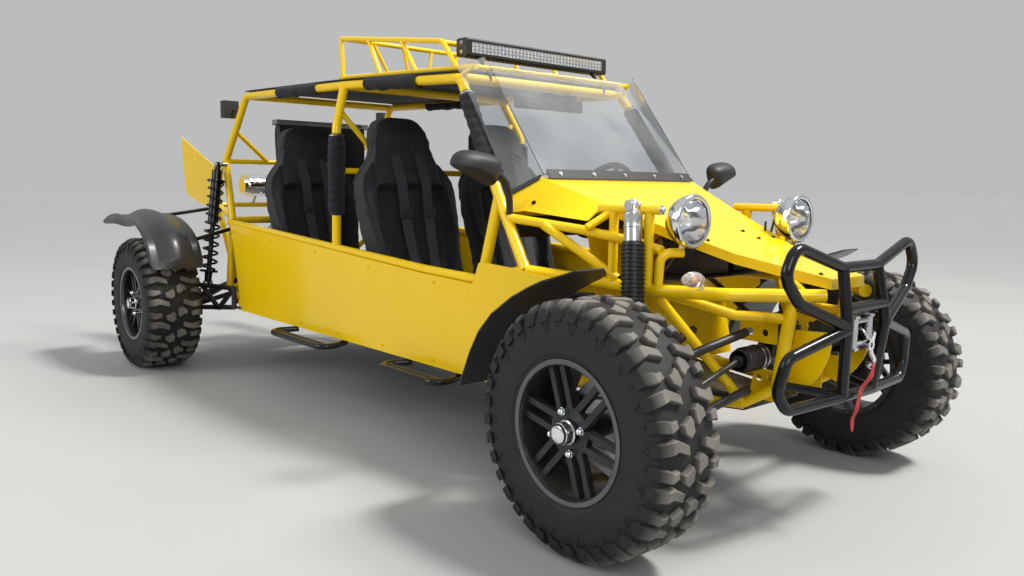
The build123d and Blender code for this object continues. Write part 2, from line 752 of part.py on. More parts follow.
# Steering rack: fixed housing, and the sliding tie rods with their bellows
rack_x = 1855
rack_z = 470
with BuildPart() as rack_housing:
    bar((rack_x, -95, rack_z), (rack_x, 95, rack_z), 26)
    for y in (-70, 70):
        with Locations((rack_x, y, rack_z + 40)):
            Box(50, 14, 90)
    with Locations(Location((rack_x, 0, rack_z), (90, 0, 0))):
        Cylinder(12, 200, mode=Mode.SUBTRACT)
rack_housing.part.label = "rack_housing"
export_step(rack_housing.part, "parts/rack_housing.step")
with BuildPart() as tie_rods:
    for side_name, side in sides:
        bar((rack_x, side * 160, rack_z), (rack_x, side * 225, rack_z), 17)
        bar((rack_x, side * 225, rack_z), (front_axle_x + 105, side * (kingpin_y - 5), 368), 9)
        bar(
            (front_axle_x + 105, side * (kingpin_y - 5), 358),
            (front_axle_x + 105, side * (kingpin_y - 5), 378), 13,
        )
    bar((rack_x, -165, rack_z), (rack_x, 165, rack_z), 10)
tie_rods.part.label = "tie_rods"
export_step(tie_rods.part, "parts/tie_rods.step")

# Steering column on the dash tube, with a thinner shaft down to the rack
column_start = steer_centre + steer_axis * 56
column_end = steer_centre + steer_axis * 560
with BuildPart() as steering_column:
    bar(column_start, column_end, 18)
    bar(column_end - steer_axis * 20, (rack_x - 5, 30, rack_z + 22), 10)
    bar((1132, seat_y, dash_tube_z), (1132, seat_y, 785), 8)
    add(dashboard.part, mode=Mode.SUBTRACT)
    add(cross_tubes.part, mode=Mode.SUBTRACT)
    add(rack_housing.part, mode=Mode.SUBTRACT)
steering_column.part.label = "steering_column"
export_step(steering_column.part, "parts/steering_column.step")

# Yellow plates at the nose: arm brackets with round holes and rounded guards
with BuildPart() as nose_plates:
    for side_name, side in sides:
        with BuildSketch(upright(side * (plate_y - 6))):
            with BuildLine():
                Polyline(
                    (1800, 520), (1800, 582), (1925, 582), (1925, 520), close=True
                )
            make_face()
            with BuildLine():
                Polyline((1855, 440), (1840, 350), (1930, 350), (1935, 440), close=True)
            make_face()
            with Locations((1835, 550), (1885, 550), (1870, 415), (1910, 420)):
                Circle(11, mode=Mode.SUBTRACT)
        extrude(amount=-side * 5)
        with BuildSketch(upright(side * (plate_y - 20))):
            with BuildLine():
                Line((1975, 570), (2085, 576))
                ThreePointArc((2085, 576), (2065, 470), (1990, 388))
                Polyline((1990, 388), (1950, 400), (1975, 570))
            make_face()
        extrude(amount=-side * 5)
    add(brush_guard.part, mode=Mode.SUBTRACT)
nose_plates.part.label = "nose_plates"
export_step(nose_plates.part, "parts/nose_plates.step")

# Winch behind the guard, on a base plate between the yellow guards
winch_z = 565
with BuildPart() as winch:
    bar((2050, -60, winch_z), (2050, 60, winch_z), 32)
    for y in (-104, 54):
        bar((2050, y, winch_z), (2050, y + 50, winch_z), 44)
    with Locations((2048, 0, winch_z - 47)):
        Box(100, 2 * (plate_y - 20), 6)
    with Locations((2095, 0, winch_z + 2)):
        Box(8, 130, 104)
        Box(30, 70, 44, mode=Mode.SUBTRACT)
    for y in (-40, 40):
        bar((2050, y, winch_z), (2050, y + 6, winch_z), 38)
winch.part.label = "winch"
export_step(winch.part, "parts/winch.step")
with BuildPart() as fairlead:
    for y in (-42, 42):
        bar((2110, y, 530), (2110, y, 612), 11)
        for z in (526, 616):
            with Locations((2110, y, z)):
                Box(22, 24, 8)
    for z in (538, 603):
        bar((2110, -36, z), (2110, 36, z), 7)
fairlead.part.label = "fairlead"
export_step(fairlead.part, "parts/fairlead.step")

# Tow hook on a short rope from the drum, and the strap that hangs from it over the lower bar
with BuildPart() as winch_hook:
    bent_bar([(2068, 12, 600), (2110, 14, 572), (2127, 22, 548)], 14, 5)
    with BuildSketch(Plane(origin=(2123, 22, 534), x_dir=(0, 1, 0), z_dir=(1, 0, 0))):
        Circle(17)
        Circle(8, mode=Mode.SUBTRACT)
    extrude(amount=10)
    hook_line = [(2128, 24, 520), (2128, 34, 505), (2128, 52, 488), (2128, 34, 466), (2128, 14, 482)]
    bent_bar(hook_line, 8, 7)
    add(winch.part, mode=Mode.SUBTRACT)
winch_hook.part.label = "winch_hook"
export_step(winch_hook.part, "parts/winch_hook.step")
with BuildPart() as pull_strap:
    with BuildSketch(Plane.YZ.offset(2135)):
        with BuildLine():
            Polyline((40, 480), (20, 452), (-30, 405), (-62, 352), (-74, 302))
        trace(line_width=20)
    extrude(amount=3)
pull_strap.part.label = "pull_strap"
export_step(pull_strap.part, "parts/pull_strap.step")

# Rear frame behind the cabin
rear_low = (-1600, 300, 402)
rear_mid = (-1640, 380, 850)
rear_high = (-1570, 385, 1050)
rear_frame_parts = []
for side_name, side in sides:
    with BuildPart() as rear_frame:
        loop = [hoop_bend, rear_high, rear_mid, rear_low, (-1130, 430, 385)]
        bent_bar(mirrored(loop, side), 60, 16)
        for start, end in (((-1150, 488, 780), rear_mid), ((-1150, 488, 775), rear_low)):
            bar(*mirrored([start, end], side), 16)
        add((side_frame_left if side == 1 else side_frame_right).part, mode=Mode.SUBTRACT)
        add(cross_tubes.part, mode=Mode.SUBTRACT)
    rear_frame.part.label = f"rear_frame_{side_name}"
    export_step(rear_frame.part, f"parts/rear_frame_{side_name}.step")
    rear_frame_parts.append(rear_frame.part)

with BuildPart() as rear_cross_tubes:
    for x, half_length, z in ((-1640, 360, 850), (-1600, 280, 402)):
        bar((x, -half_length, z), (x, half_length, z), 14)
rear_cross_tubes.part.label = "rear_cross_tubes"
export_step(rear_cross_tubes.part, "parts/rear_cross_tubes.step")

# Engine across the vehicle: crankcase with ribs, cylinder head, rounded cover, intake runners,
# pulley, finned sump and gearbox, on four mounts
engine_x = -1300
engine_y = 50
mount_table = (
    ((-1390, 330, 398), (-1350, 190, 560)), ((-1215, 395, 390), (-1240, 190, 560)),
)
with BuildPart() as engine:
    with BuildSketch(upright(engine_y - 200)):
        with BuildLine():
            Polyline(
                (-1400, 480), (-1200, 480), (-1190, 640), (-1215, 800), (-1225, 850),
                (-1375, 850), (-1385, 800), (-1410, 640), close=True,
            )
        make_face()
    extrude(amount=-400)
    with BuildSketch(upright(engine_y - 190)):
        with Locations((engine_x, 872)):
            RectangleRounded(150, 70, 18)
    extrude(amount=-380)
    for y in (-90, 0, 90, 180):
        bar((-1385, engine_y - 45 + y, 800), (-1490, engine_y - 45 + y, 850), 20)
        with Locations((-1196, engine_y - 45 + y, 600)):
            Box(30, 12, 200)
    bar((-1490, -110, 855), (-1490, 260, 855), 42)
    bar((engine_x, engine_y + 200, 560), (engine_x, engine_y + 232, 560), 85)
    bar((-1215, engine_y + 200, 720), (-1215, engine_y + 232, 720), 38)
    bar((-1215, engine_y + 100, 720), (-1215, engine_y + 200, 720), 55)
    with Locations((engine_x, engine_y, 455)):
        Box(170, 340, 50)
    for x in (-1360, -1330, -1300, -1270, -1240):
        with Locations((x, engine_y, 424)):
            Box(8, 320, 14)
    bar((rear_axle_x, -245, 480), (rear_axle_x, 245, 480), 95)
    with BuildSketch(upright(-150)):
        with Locations((engine_x, 610)):
            RegularPolygon(150, 8)
    extrude(amount=40)
    for side_name, side in sides:
        for foot, head in mount_table:
            bar(
                (foot[0], side * foot[1], foot[2]),
                (head[0], engine_y + side * head[1], head[2]), 15,
            )
    for frame in rear_frame_parts:
        add(frame, mode=Mode.SUBTRACT)
engine.part.label = "engine"
export_step(engine.part, "parts/engine.step")

# Exhaust: two short pipes into a silencer across the back, hung from the rear cross tube
with BuildPart() as exhaust:
    for y in (-60, 150):
        bar((-1404, y, 700), (-1535, y, 700), 24)
        bar((-1520, y, 690), (-1560, y, 945), 24)
    bar((-1565, -235, 965), (-1565, 235, 965), 62)
    bar((-1565, 235, 965), (-1565, 262, 965), 48)
    bar((-1565, -262, 965), (-1565, -235, 965), 48)
    bar((-1600, -180, 990), (-1720, -180, 1020), 24)
    for y in (-170, 170):
        bar((-1580, y, 920), (-1636, y, 856), 9)
    add(engine.part, mode=Mode.SUBTRACT)
    add(rear_cross_tubes.part, mode=Mode.SUBTRACT)
exhaust.part.label = "exhaust"
export_step(exhaust.part, "parts/exhaust.step")

# Radiator behind the rear seats: finned core between two tanks, on posts from the cross tube
with BuildPart() as radiator:
    with Locations((-1068, 0, 1140)):
        Box(44, 520, 300)
    for z in (976, 1304):
        with Locations((-1068, 0, z)):
            Box(58, 560, 28)
    with BuildSketch(Plane.YZ.offset(-1046)):
        with Locations((0, 1140)):
            with GridLocations(1, 20, 1, 14):
                Rectangle(500, 9)
    extrude(amount=-8, mode=Mode.SUBTRACT)
    for y in (-200, 200):
        bar((-1122, y, 786), (-1072, y, 966), 9)
    add(cross_tubes.part, mode=Mode.SUBTRACT)
radiator.part.label = "radiator"
export_step(radiator.part, "parts/radiator.step")

# Rear suspension: trailing arms in a lattice, hub carriers and drive shafts
with BuildPart() as rear_arms:
    for side_name, side in sides:
        hub = Vector(rear_axle_x, side * 690, tyre_radius)
        for start, end in (
            ((-990, 562, 430), (rear_axle_x, 680, 430)), ((-990, 562, 330), (rear_axle_x, 680, 300)),
            ((-990, 562, 430), (-1110, 598, 314)), ((-1110, 598, 314), (-1230, 640, 430)),
            ((-1560, 330, 402), (rear_axle_x, 680, 300)), ((-1150, 470, 395), (rear_axle_x, 680, 300)),
            ((-990, 562, 322), (-990, 562, 438)), ((-990, 562, 362), (-990, 530, 361)),
        ):
            bar(*mirrored([start, end], side), 13)
        bar((rear_axle_x, side * 650, tyre_radius), (rear_axle_x, side * 720, tyre_radius), 45)
        with Locations((rear_axle_x, side * 680, 365)):
            Box(36, 36, 150)
        bar((rear_axle_x, side * 240, 484), (rear_axle_x, side * 655, tyre_radius), 16)
        for shaft_y, shaft_z in ((262, 475), (620, 355)):
            centre = Vector(rear_axle_x, side * shaft_y, shaft_z)
            bar(centre, centre + Vector(0, side * 44, -16), 34)
    for other in (*rear_frame_parts, side_frame_left.part, side_frame_right.part, engine.part):
        add(other, mode=Mode.SUBTRACT)
rear_arms.part.label = "rear_arms"
export_step(rear_arms.part, "parts/rear_arms.step")

# Coil-overs: name, top, foot, shares of the length where the ribbed part starts and ends, body
# radius, rib count, rib radius, groove radius
coil_table = (
    ("front_coil_overs", coil_top, coil_foot, 0.20, 0.88, 27, 13, 40, 31),
    ("rear_coil_overs", (-1240, 530, 1075), (-1180, 626, 452), 0.16, 0.90, 26, 9, 42, 27),
)
coil_carriers = {
    "front_coil_overs": (nose_frame_left.part, nose_frame_right.part, front_arms.part),
    "rear_coil_overs": (side_frame_left.part, side_frame_right.part, rear_arms.part),
}
coil_pins = {
    "front_coil_overs": (((1589, 364, 908), (1589, 404, 918)), ((1680, 450, 316), (1680, 490, 316))),
    "rear_coil_overs": (
        ((-1264, 476, 1080), (-1240, 548, 1075)), ((-1180, 606, 447), (-1180, 646, 447)),
    ),
}
for coil_name, top, foot, ribs_from, ribs_to, body_radius, rib_count, rib, groove in coil_table:
    with BuildPart() as coil_overs:
        for side_name, side in sides:
            start, end = (Vector(*point) for point in mirrored([top, foot], side))
            run = end - start
            bar(start, end, 11)
            bar(start + run * 0.04, start + run * ribs_from, body_radius)
            pitch = run.length * (ribs_to - ribs_from) / rib_count
            low = run.length * ribs_from
            with BuildSketch(Plane(origin=start, x_dir=run, z_dir=run.cross(Vector(1, 0, 0)))):
                with BuildLine():
                    Polyline(
                        (low, 0), (low, groove),
                        *[
                            (low + pitch * (number + part), radius)
                            for number in range(rib_count)
                            for part, radius in ((0.25, rib), (0.55, rib), (0.95, groove))
                        ],
                        (low + pitch * rib_count, 0), close=True,
                    )
                make_face()
            revolve(axis=Axis(start, run))
            for pin_start, pin_end in coil_pins[coil_name]:
                bar(*mirrored([pin_start, pin_end], side), 12)
        for carrier in coil_carriers[coil_name]:
            add(carrier, mode=Mode.SUBTRACT)
    coil_overs.part.label = coil_name
    export_step(coil_overs.part, f"parts/{coil_name}.step")

# Rear fenders: a raised crown between flat lips, carried by two stays from the rear frame
rear_fender_y = 832
rear_fender_line = [
    (-1020, 545), (-1090, 670), (-1220, 752), (-1400, 795), (-1600, 800), (-1740, 780), (-1860, 742),
]
crown_section = [(-133, 0), (-98, 0), (-72, 26), (72, 26), (98, 0), (133, 0)]
fender_stays = (((-1566, 400, 839), (-1560, 726, 789)), ((-1130, 505, 735), (-1112, 724, 676)))
with BuildPart() as rear_fenders:
    for side_name, side in sides:
        with BuildLine() as fender_path:
            FilletPolyline(
                *[(x, side * rear_fender_y, z) for x, z in rear_fender_line], radius=55
            )
        with BuildSketch(
            Plane(origin=fender_path.line @ 0, x_dir=(0, 1, 0), z_dir=fender_path.line % 0)
        ) as section:
            with BuildLine():
                Polyline(
                    *[(across, -rise) for across, rise in crown_section],
                    *[(across, -rise - fender_sheet) for across, rise in reversed(crown_section)],
                    close=True,
                )
            make_face()
        sweep(section.sketch, path=fender_path.line)
        for start, end in fender_stays:
            bar(*mirrored([start, end], side), 10)
    for frame in (*rear_frame_parts, side_frame_left.part, side_frame_right.part):
        add(frame, mode=Mode.SUBTRACT)
rear_fenders.part.label = "rear_fenders"
export_step(rear_fenders.part, "parts/rear_fenders.step")

# Steps below the sills
with BuildPart() as side_steps:
    for side_name, side in sides:
        for rear, front in ((-380, 175), (563, 986)):
            loop = [
                (rear + 60, sill_y, 304), (rear, 655, 300), (front, 655, 300), (front - 60, sill_y, 304),
            ]
            bent_bar(mirrored(loop, side), 50, 13)
            bar(*mirrored([(rear + 40, 620, 301), (front - 40, 620, 301)], side), 9)
    add(side_frame_left.part, mode=Mode.SUBTRACT)
    add(side_frame_right.part, mode=Mode.SUBTRACT)
side_steps.part.label = "side_steps"
export_step(side_steps.part, "parts/side_steps.step")

# Rear plates and lamps
with BuildPart() as rear_plates:
    for side_name, side in sides:
        with BuildSketch(upright(side * 404)):
            with BuildLine():
                Polyline(
                    (-2142, 1265), (-1570, 1060), (-1650, 842), (-1821, 850), (-2059, 905),
                    (-2097, 952), close=True,
                )
            make_face()
            with Locations((-1950, 985), (-1750, 985)):
                Circle(4.5, mode=Mode.SUBTRACT)
        extrude(amount=-side * 4)
        for x, y, z in ((-1641, 380, 858), (-1576, 385, 1040)):
            bar((x, side * y, z), (x, side * 405, z), 11)
    for frame in rear_frame_parts:
        add(frame, mode=Mode.SUBTRACT)
rear_plates.part.label = "rear_plates"
export_step(rear_plates.part, "parts/rear_plates.step")
with BuildPart() as rear_lamps:
    for side_name, side in sides:
        with Locations((-1185, side * 478, 1365)):
            Box(50, 80, 90)
        bar((-1100, side * 450, 1355), (-1165, side * 470, 1360), 6)
    add(side_frame_left.part, mode=Mode.SUBTRACT)
    add(side_frame_right.part, mode=Mode.SUBTRACT)
rear_lamps.part.label = "rear_lamps"
export_step(rear_lamps.part, "parts/rear_lamps.step")
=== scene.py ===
import math
import bmesh
import bpy
from mathutils import Matrix, Vector


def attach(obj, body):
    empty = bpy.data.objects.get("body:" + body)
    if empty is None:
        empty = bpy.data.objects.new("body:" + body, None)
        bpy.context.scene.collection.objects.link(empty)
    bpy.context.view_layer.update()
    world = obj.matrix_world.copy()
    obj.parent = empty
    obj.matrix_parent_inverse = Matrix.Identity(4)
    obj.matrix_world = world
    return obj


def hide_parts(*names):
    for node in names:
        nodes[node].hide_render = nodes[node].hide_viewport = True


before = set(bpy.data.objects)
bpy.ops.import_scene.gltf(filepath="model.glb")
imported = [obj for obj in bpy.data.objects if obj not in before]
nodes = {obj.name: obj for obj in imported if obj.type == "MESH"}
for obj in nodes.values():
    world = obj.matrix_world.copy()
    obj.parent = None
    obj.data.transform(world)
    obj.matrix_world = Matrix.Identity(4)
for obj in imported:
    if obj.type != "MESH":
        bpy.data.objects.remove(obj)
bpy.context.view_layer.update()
sides = ((1, "left"), (-1, "right"))
print("frame loaded:", len(nodes), "nodes")


def addObject(name, data):
    piece = bpy.data.objects.new(name, data)
    bpy.context.scene.collection.objects.link(piece)
    return piece


# Camera: matched to the photo, distances in metres and angles in degrees
cameraSetup = {
    "place": (3.2320, -2.2596, 0.9615), "azimuth": 49.462, "down": 6.793, "roll": 0.634,
    "focalPixels": 831.33, "framePixels": 1024, "sensor": 36.0, "reach": 200,
}


def addCamera(setup):
    turn, down, roll = (math.radians(setup[key]) for key in ("azimuth", "down", "roll"))
    ahead = Vector((-math.sin(turn) * math.cos(down), math.cos(turn) * math.cos(down), -math.sin(down)))
    level = Vector((math.cos(turn), math.sin(turn), 0))
    above = level.cross(ahead)
    right = level * math.cos(roll) + above * math.sin(roll)
    up = above * math.cos(roll) - level * math.sin(roll)
    data = bpy.data.cameras.new("photoCamera")
    data.sensor_width = setup["sensor"]
    data.lens = setup["focalPixels"] * setup["sensor"] / setup["framePixels"]
    data.clip_end = setup["reach"]
    camera = addObject("photoCamera", data)
    matrix = Matrix((right, up, -ahead)).transposed().to_4x4()
    matrix.translation = Vector(setup["place"])
    camera.matrix_world = matrix
    bpy.context.scene.camera = camera


addCamera(cameraSetup)


# Node helpers: each input takes a constant or the output of another node
def feed(tree, node, inputs):
    for label, value in inputs.items():
        if isinstance(value, bpy.types.NodeSocket):
            tree.links.new(value, node.inputs[label])
        else:
            node.inputs[label].default_value = value


def addNode(tree, kind, inputs=None, **settings):
    node = tree.nodes.new(kind)
    for key, value in settings.items():
        setattr(node, key, value)
    feed(tree, node, inputs or {})
    return node


def addMath(tree, operation, *values, clamp=False):
    inputs = dict(enumerate(values))
    return addNode(tree, "ShaderNodeMath", inputs, operation=operation, use_clamp=clamp).outputs[0]


def addRange(tree, value, start=(0, 1), end=(0, 1), kind="LINEAR"):
    # the value taken from the start range to the end range
    inputs = {"Value": value, "From Min": start[0], "From Max": start[1], "To Min": end[0], "To Max": end[1]}
    return addNode(tree, "ShaderNodeMapRange", inputs, interpolation_type=kind).outputs["Result"]


def addStep(tree, value, start, end=(0, 1)):
    return addRange(tree, value, start, end, "SMOOTHSTEP")


def mixColors(tree, share, first, second):
    inputs = {"Factor": share, "A": first, "B": second}
    return addNode(tree, "ShaderNodeMix", inputs, data_type="RGBA").outputs["Result"]


def placeOn(tree):
    return addNode(tree, "ShaderNodeTexCoord").outputs["Object"]


def upPart(tree, vector):
    return addNode(tree, "ShaderNodeSeparateXYZ", {0: vector}).outputs["Z"]


def addNoise(tree, scale, detail, roughness=0.5):
    inputs = {"Vector": placeOn(tree), "Scale": scale, "Detail": detail, "Roughness": roughness}
    return addNode(tree, "ShaderNodeTexNoise", inputs).outputs["Fac"]


def addBump(tree, height, strength):
    inputs = {"Height": height, "Strength": strength, "Distance": 0.001}
    return addNode(tree, "ShaderNodeBump", inputs).outputs["Normal"]


# Studio: pale floor, pale room light, one large soft key high behind the vehicle and two fills
studio = {
    "floorSize": 400, "above": (0.93, 0.96, 1.0), "level": (0.50, 0.52, 0.55),
    "backdrop": (0.50, 0.505, 0.51), "rise": (-0.05, 0.75), "roomStrength": 0.62, "aim": (0.3, 0, 0.6),
    "overhead": {"place": (0, 0, 9), "toward": (-0.42, -0.40, -1.0), "power": 2.9, "spread": 9,
                 "color": (1.0, 0.97, 0.92)},
    "lights": {
        "keyLight": {"place": (4.5, 3.6, 7.5), "size": 2.2, "power": 420, "color": (1.0, 0.97, 0.92)},
        "frontFill": {"place": (7.5, -4.0, 4.6), "size": 4.0, "power": 170, "color": (0.95, 0.98, 1.0)},
        "sideFill": {"place": (-2.5, -8.0, 4.4), "size": 5.0, "power": 260, "color": (0.95, 0.98, 1.0)},
    },
}


def addRoom(setup):
    # brighter overhead than at eye level, and the plain backdrop behind the floor
    world = bpy.data.worlds.new("room")
    bpy.context.scene.world = world
    world.use_nodes = True
    tree = world.node_tree
    sky = tree.nodes["Background"]
    way = addNode(tree, "ShaderNodeTexCoord").outputs["Generated"]
    rise = addStep(tree, upPart(tree, way), setup["rise"])
    color = mixColors(tree, rise, (*setup["level"], 1), (*setup["above"], 1))
    feed(tree, sky, {"Color": color, "Strength": setup["roomStrength"]})
    plain = addNode(tree, "ShaderNodeBackground", {"Color": (*setup["backdrop"], 1)})
    seen = addNode(tree, "ShaderNodeLightPath").outputs["Is Camera Ray"]
    choose = addNode(tree, "ShaderNodeMixShader", {0: seen, 1: sky.outputs[0], 2: plain.outputs[0]})
    feed(tree, tree.nodes["World Output"], {"Surface": choose.outputs[0]})


def addLamp(name, kind, light, toward):
    data = bpy.data.lights.new(name, kind)
    data.energy = light["power"]
    data.color = light["color"]
    lamp = addObject(name, data)
    lamp.location = light["place"]
    lamp.rotation_euler = Vector(toward).to_track_quat("-Z", "Y").to_euler()
    return data


addRoom(studio)
for name, light in studio["lights"].items():
    disk = addLamp(name, "AREA", light, Vector(studio["aim"]) - Vector(light["place"]))
    disk.shape = "DISK"
    disk.size = light["size"]
sun = addLamp("overhead", "SUN", studio["overhead"], studio["overhead"]["toward"])
sun.angle = math.radians(studio["overhead"]["spread"])
bpy.context.scene.view_settings.view_transform = "Standard"
print("camera and lights set")


# Shared effects: each is a node group that gives colours, masks or normals
def startGroup(name, inputs, outputs):
    group = bpy.data.node_groups.new(name, "ShaderNodeTree")
    for label, value in inputs.items():
        kind = "NodeSocketColor" if isinstance(value, tuple) else "NodeSocketFloat"
        group.interface.new_socket(name=label, in_out="INPUT", socket_type=kind).default_value = value
    for label, kind in outputs.items():
        group.interface.new_socket(name=label, in_out="OUTPUT", socket_type="NodeSocket" + kind)
    return group, addNode(group, "NodeGroupInput").outputs


def endGroup(group, results):
    addNode(group, "NodeGroupOutput", results)
    return group


def makeDriftGroup():
    # two colours that drift into each other in soft patches, with a mask for the roughness
    group, given = startGroup(
        "colourDrift",
        {"Color A": (0.5, 0.5, 0.5, 1), "Color B": (0.4, 0.4, 0.4, 1), "Scale": 6.0, "Contrast": 1.0},
        {"Color": "Color", "Mask": "Float"})
    patches = addMath(group, "SUBTRACT", addNoise(group, given["Scale"], 6), 0.5)
    mask = addMath(group, "MULTIPLY_ADD", patches, given["Contrast"], 0.5, clamp=True)
    color = mixColors(group, mask, given["Color A"], given["Color B"])
    return endGroup(group, {"Color": color, "Mask": mask})


def makeDustGroup():
    # pale dust on faces that look up, and more of it near the ground
    group, given = startGroup(
        "roadDust",
        {"Clean": (0.1, 0.1, 0.1, 1), "Dust": (0.35, 0.31, 0.25, 1), "Amount": 0.3, "Scale": 14.0,
         "Top": 0.9},
        {"Color": "Color", "Mask": "Float"})
    low = addStep(group, upPart(group, placeOn(group)), (0, given["Top"]), (1, 0.15))
    normal = addNode(group, "ShaderNodeNewGeometry").outputs["Normal"]
    upward = addStep(group, upPart(group, normal), (-0.2, 1), (0.35, 1))
    patches = addStep(group, addNoise(group, given["Scale"], 8, 0.7), (0.32, 0.68))
    share = addMath(group, "MULTIPLY", addMath(group, "MULTIPLY", low, upward), patches)
    mask = addMath(group, "MULTIPLY", share, given["Amount"], clamp=True)
    return endGroup(group, {"Color": mixColors(group, mask, given["Clean"], given["Dust"]), "Mask": mask})


def makeWearGroup():
    # paint rubbed thin on sharp edges, broken up by noise
    group, given = startGroup(
        "wornEdges", {"Paint": (0.1, 0.1, 0.1, 1), "Bare": (0.4, 0.4, 0.4, 1), "Amount": 0.4, "Scale": 60.0},
        {"Color": "Color", "Mask": "Float"})
    edges = addStep(group, addNode(group, "ShaderNodeNewGeometry").outputs["Pointiness"], (0.53, 0.64))
    broken = addStep(group, addNoise(group, given["Scale"], 6), (0.45, 0.62))
    mask = addMath(group, "MULTIPLY", addMath(group, "MULTIPLY", edges, broken), given["Amount"], clamp=True)
    return endGroup(group, {"Color": mixColors(group, mask, given["Paint"], given["Bare"]), "Mask": mask})


def makeGrainGroup():
    # fine relief of paint, moulded plastic, rubber or a casting
    group, given = startGroup(
        "surfaceGrain", {"Scale": 200.0, "Depth": 0.1}, {"Normal": "Vector", "Height": "Float"})
    height = addNoise(group, given["Scale"], 4)
    return endGroup(group, {"Normal": addBump(group, height, given["Depth"]), "Height": height})


def makeWeaveGroup():
    # crossing threads from three sets of waves
    group, given = startGroup(
        "wovenThreads", {"Scale": 300.0, "Depth": 0.3}, {"Normal": "Vector", "Mask": "Float"})
    inputs = {"Vector": placeOn(group), "Scale": given["Scale"], "Distortion": 0.6, "Detail": 1}
    lengthwise, crosswise, upright = (
        addNode(group, "ShaderNodeTexWave", inputs, wave_type="BANDS", bands_direction=way).outputs["Fac"]
        for way in "XYZ")
    threads = addMath(group, "ADD", addMath(group, "MULTIPLY", lengthwise, crosswise), upright)
    return endGroup(group, {"Normal": addBump(group, threads, given["Depth"]), "Mask": threads})


groups = {
    "drift": makeDriftGroup(), "dust": makeDustGroup(), "wear": makeWearGroup(),
    "grain": makeGrainGroup(), "weave": makeWeaveGroup(),
}


def useGroup(tree, key, **values):
    inputs = {label.replace("_", " "): value for label, value in values.items()}
    return addNode(tree, "ShaderNodeGroup", inputs, node_tree=groups[key]).outputs


def startMaterial(name):
    material = bpy.data.materials.new(name)
    material.use_nodes = True
    return material, material.node_tree, material.node_tree.nodes["Principled BSDF"]


def makeFinish(name, look):
    # drifting colour, worn edges, dust, grain, and roughness that follows them
    material, tree, shader = startMaterial(name)
    drift = useGroup(tree, "drift", Color_A=(*look["color"], 1), Color_B=(*look["second"], 1),
                     Scale=look.get("patch", 5.0), Contrast=look.get("contrast", 2.0))
    color = drift["Color"]
    if "wear" in look:
        color = useGroup(tree, "wear", Paint=color, Bare=(*look["bare"], 1), Amount=look["wear"])["Color"]
    if "attribute" in look:
        # paler where the mesh says that the surface is rubbed, broken up by the drift
        rubbed = addNode(tree, "ShaderNodeAttribute", attribute_name=look["attribute"]).outputs["Fac"]
        share = addMath(tree, "MULTIPLY_ADD", drift["Mask"], 0.75, 0.35, clamp=True)
        share = addMath(tree, "MULTIPLY", share, rubbed, clamp=True)
        color = mixColors(tree, share, color, (*look["rubbed"], 1))
    roughness = addRange(tree, drift["Mask"], end=look["roughness"])
    if "dust" in look:
        dust = useGroup(tree, "dust", Clean=color, Dust=(*look.get("dustColor", (0.36, 0.32, 0.26)), 1),
                        Amount=look["dust"], Scale=look.get("dustScale", 14.0), Top=look.get("dustTop", 0.9))
        color = dust["Color"]
        roughness = addMath(tree, "MULTIPLY_ADD", dust["Mask"], 0.5, roughness, clamp=True)
    relief = useGroup(tree, "weave" if "woven" in look else "grain", Scale=look["grain"], Depth=look["depth"])
    feed(tree, shader, {**look.get("sockets", {}), "Base Color": color, "Roughness": roughness,
                        "Normal": relief["Normal"]})
    return material


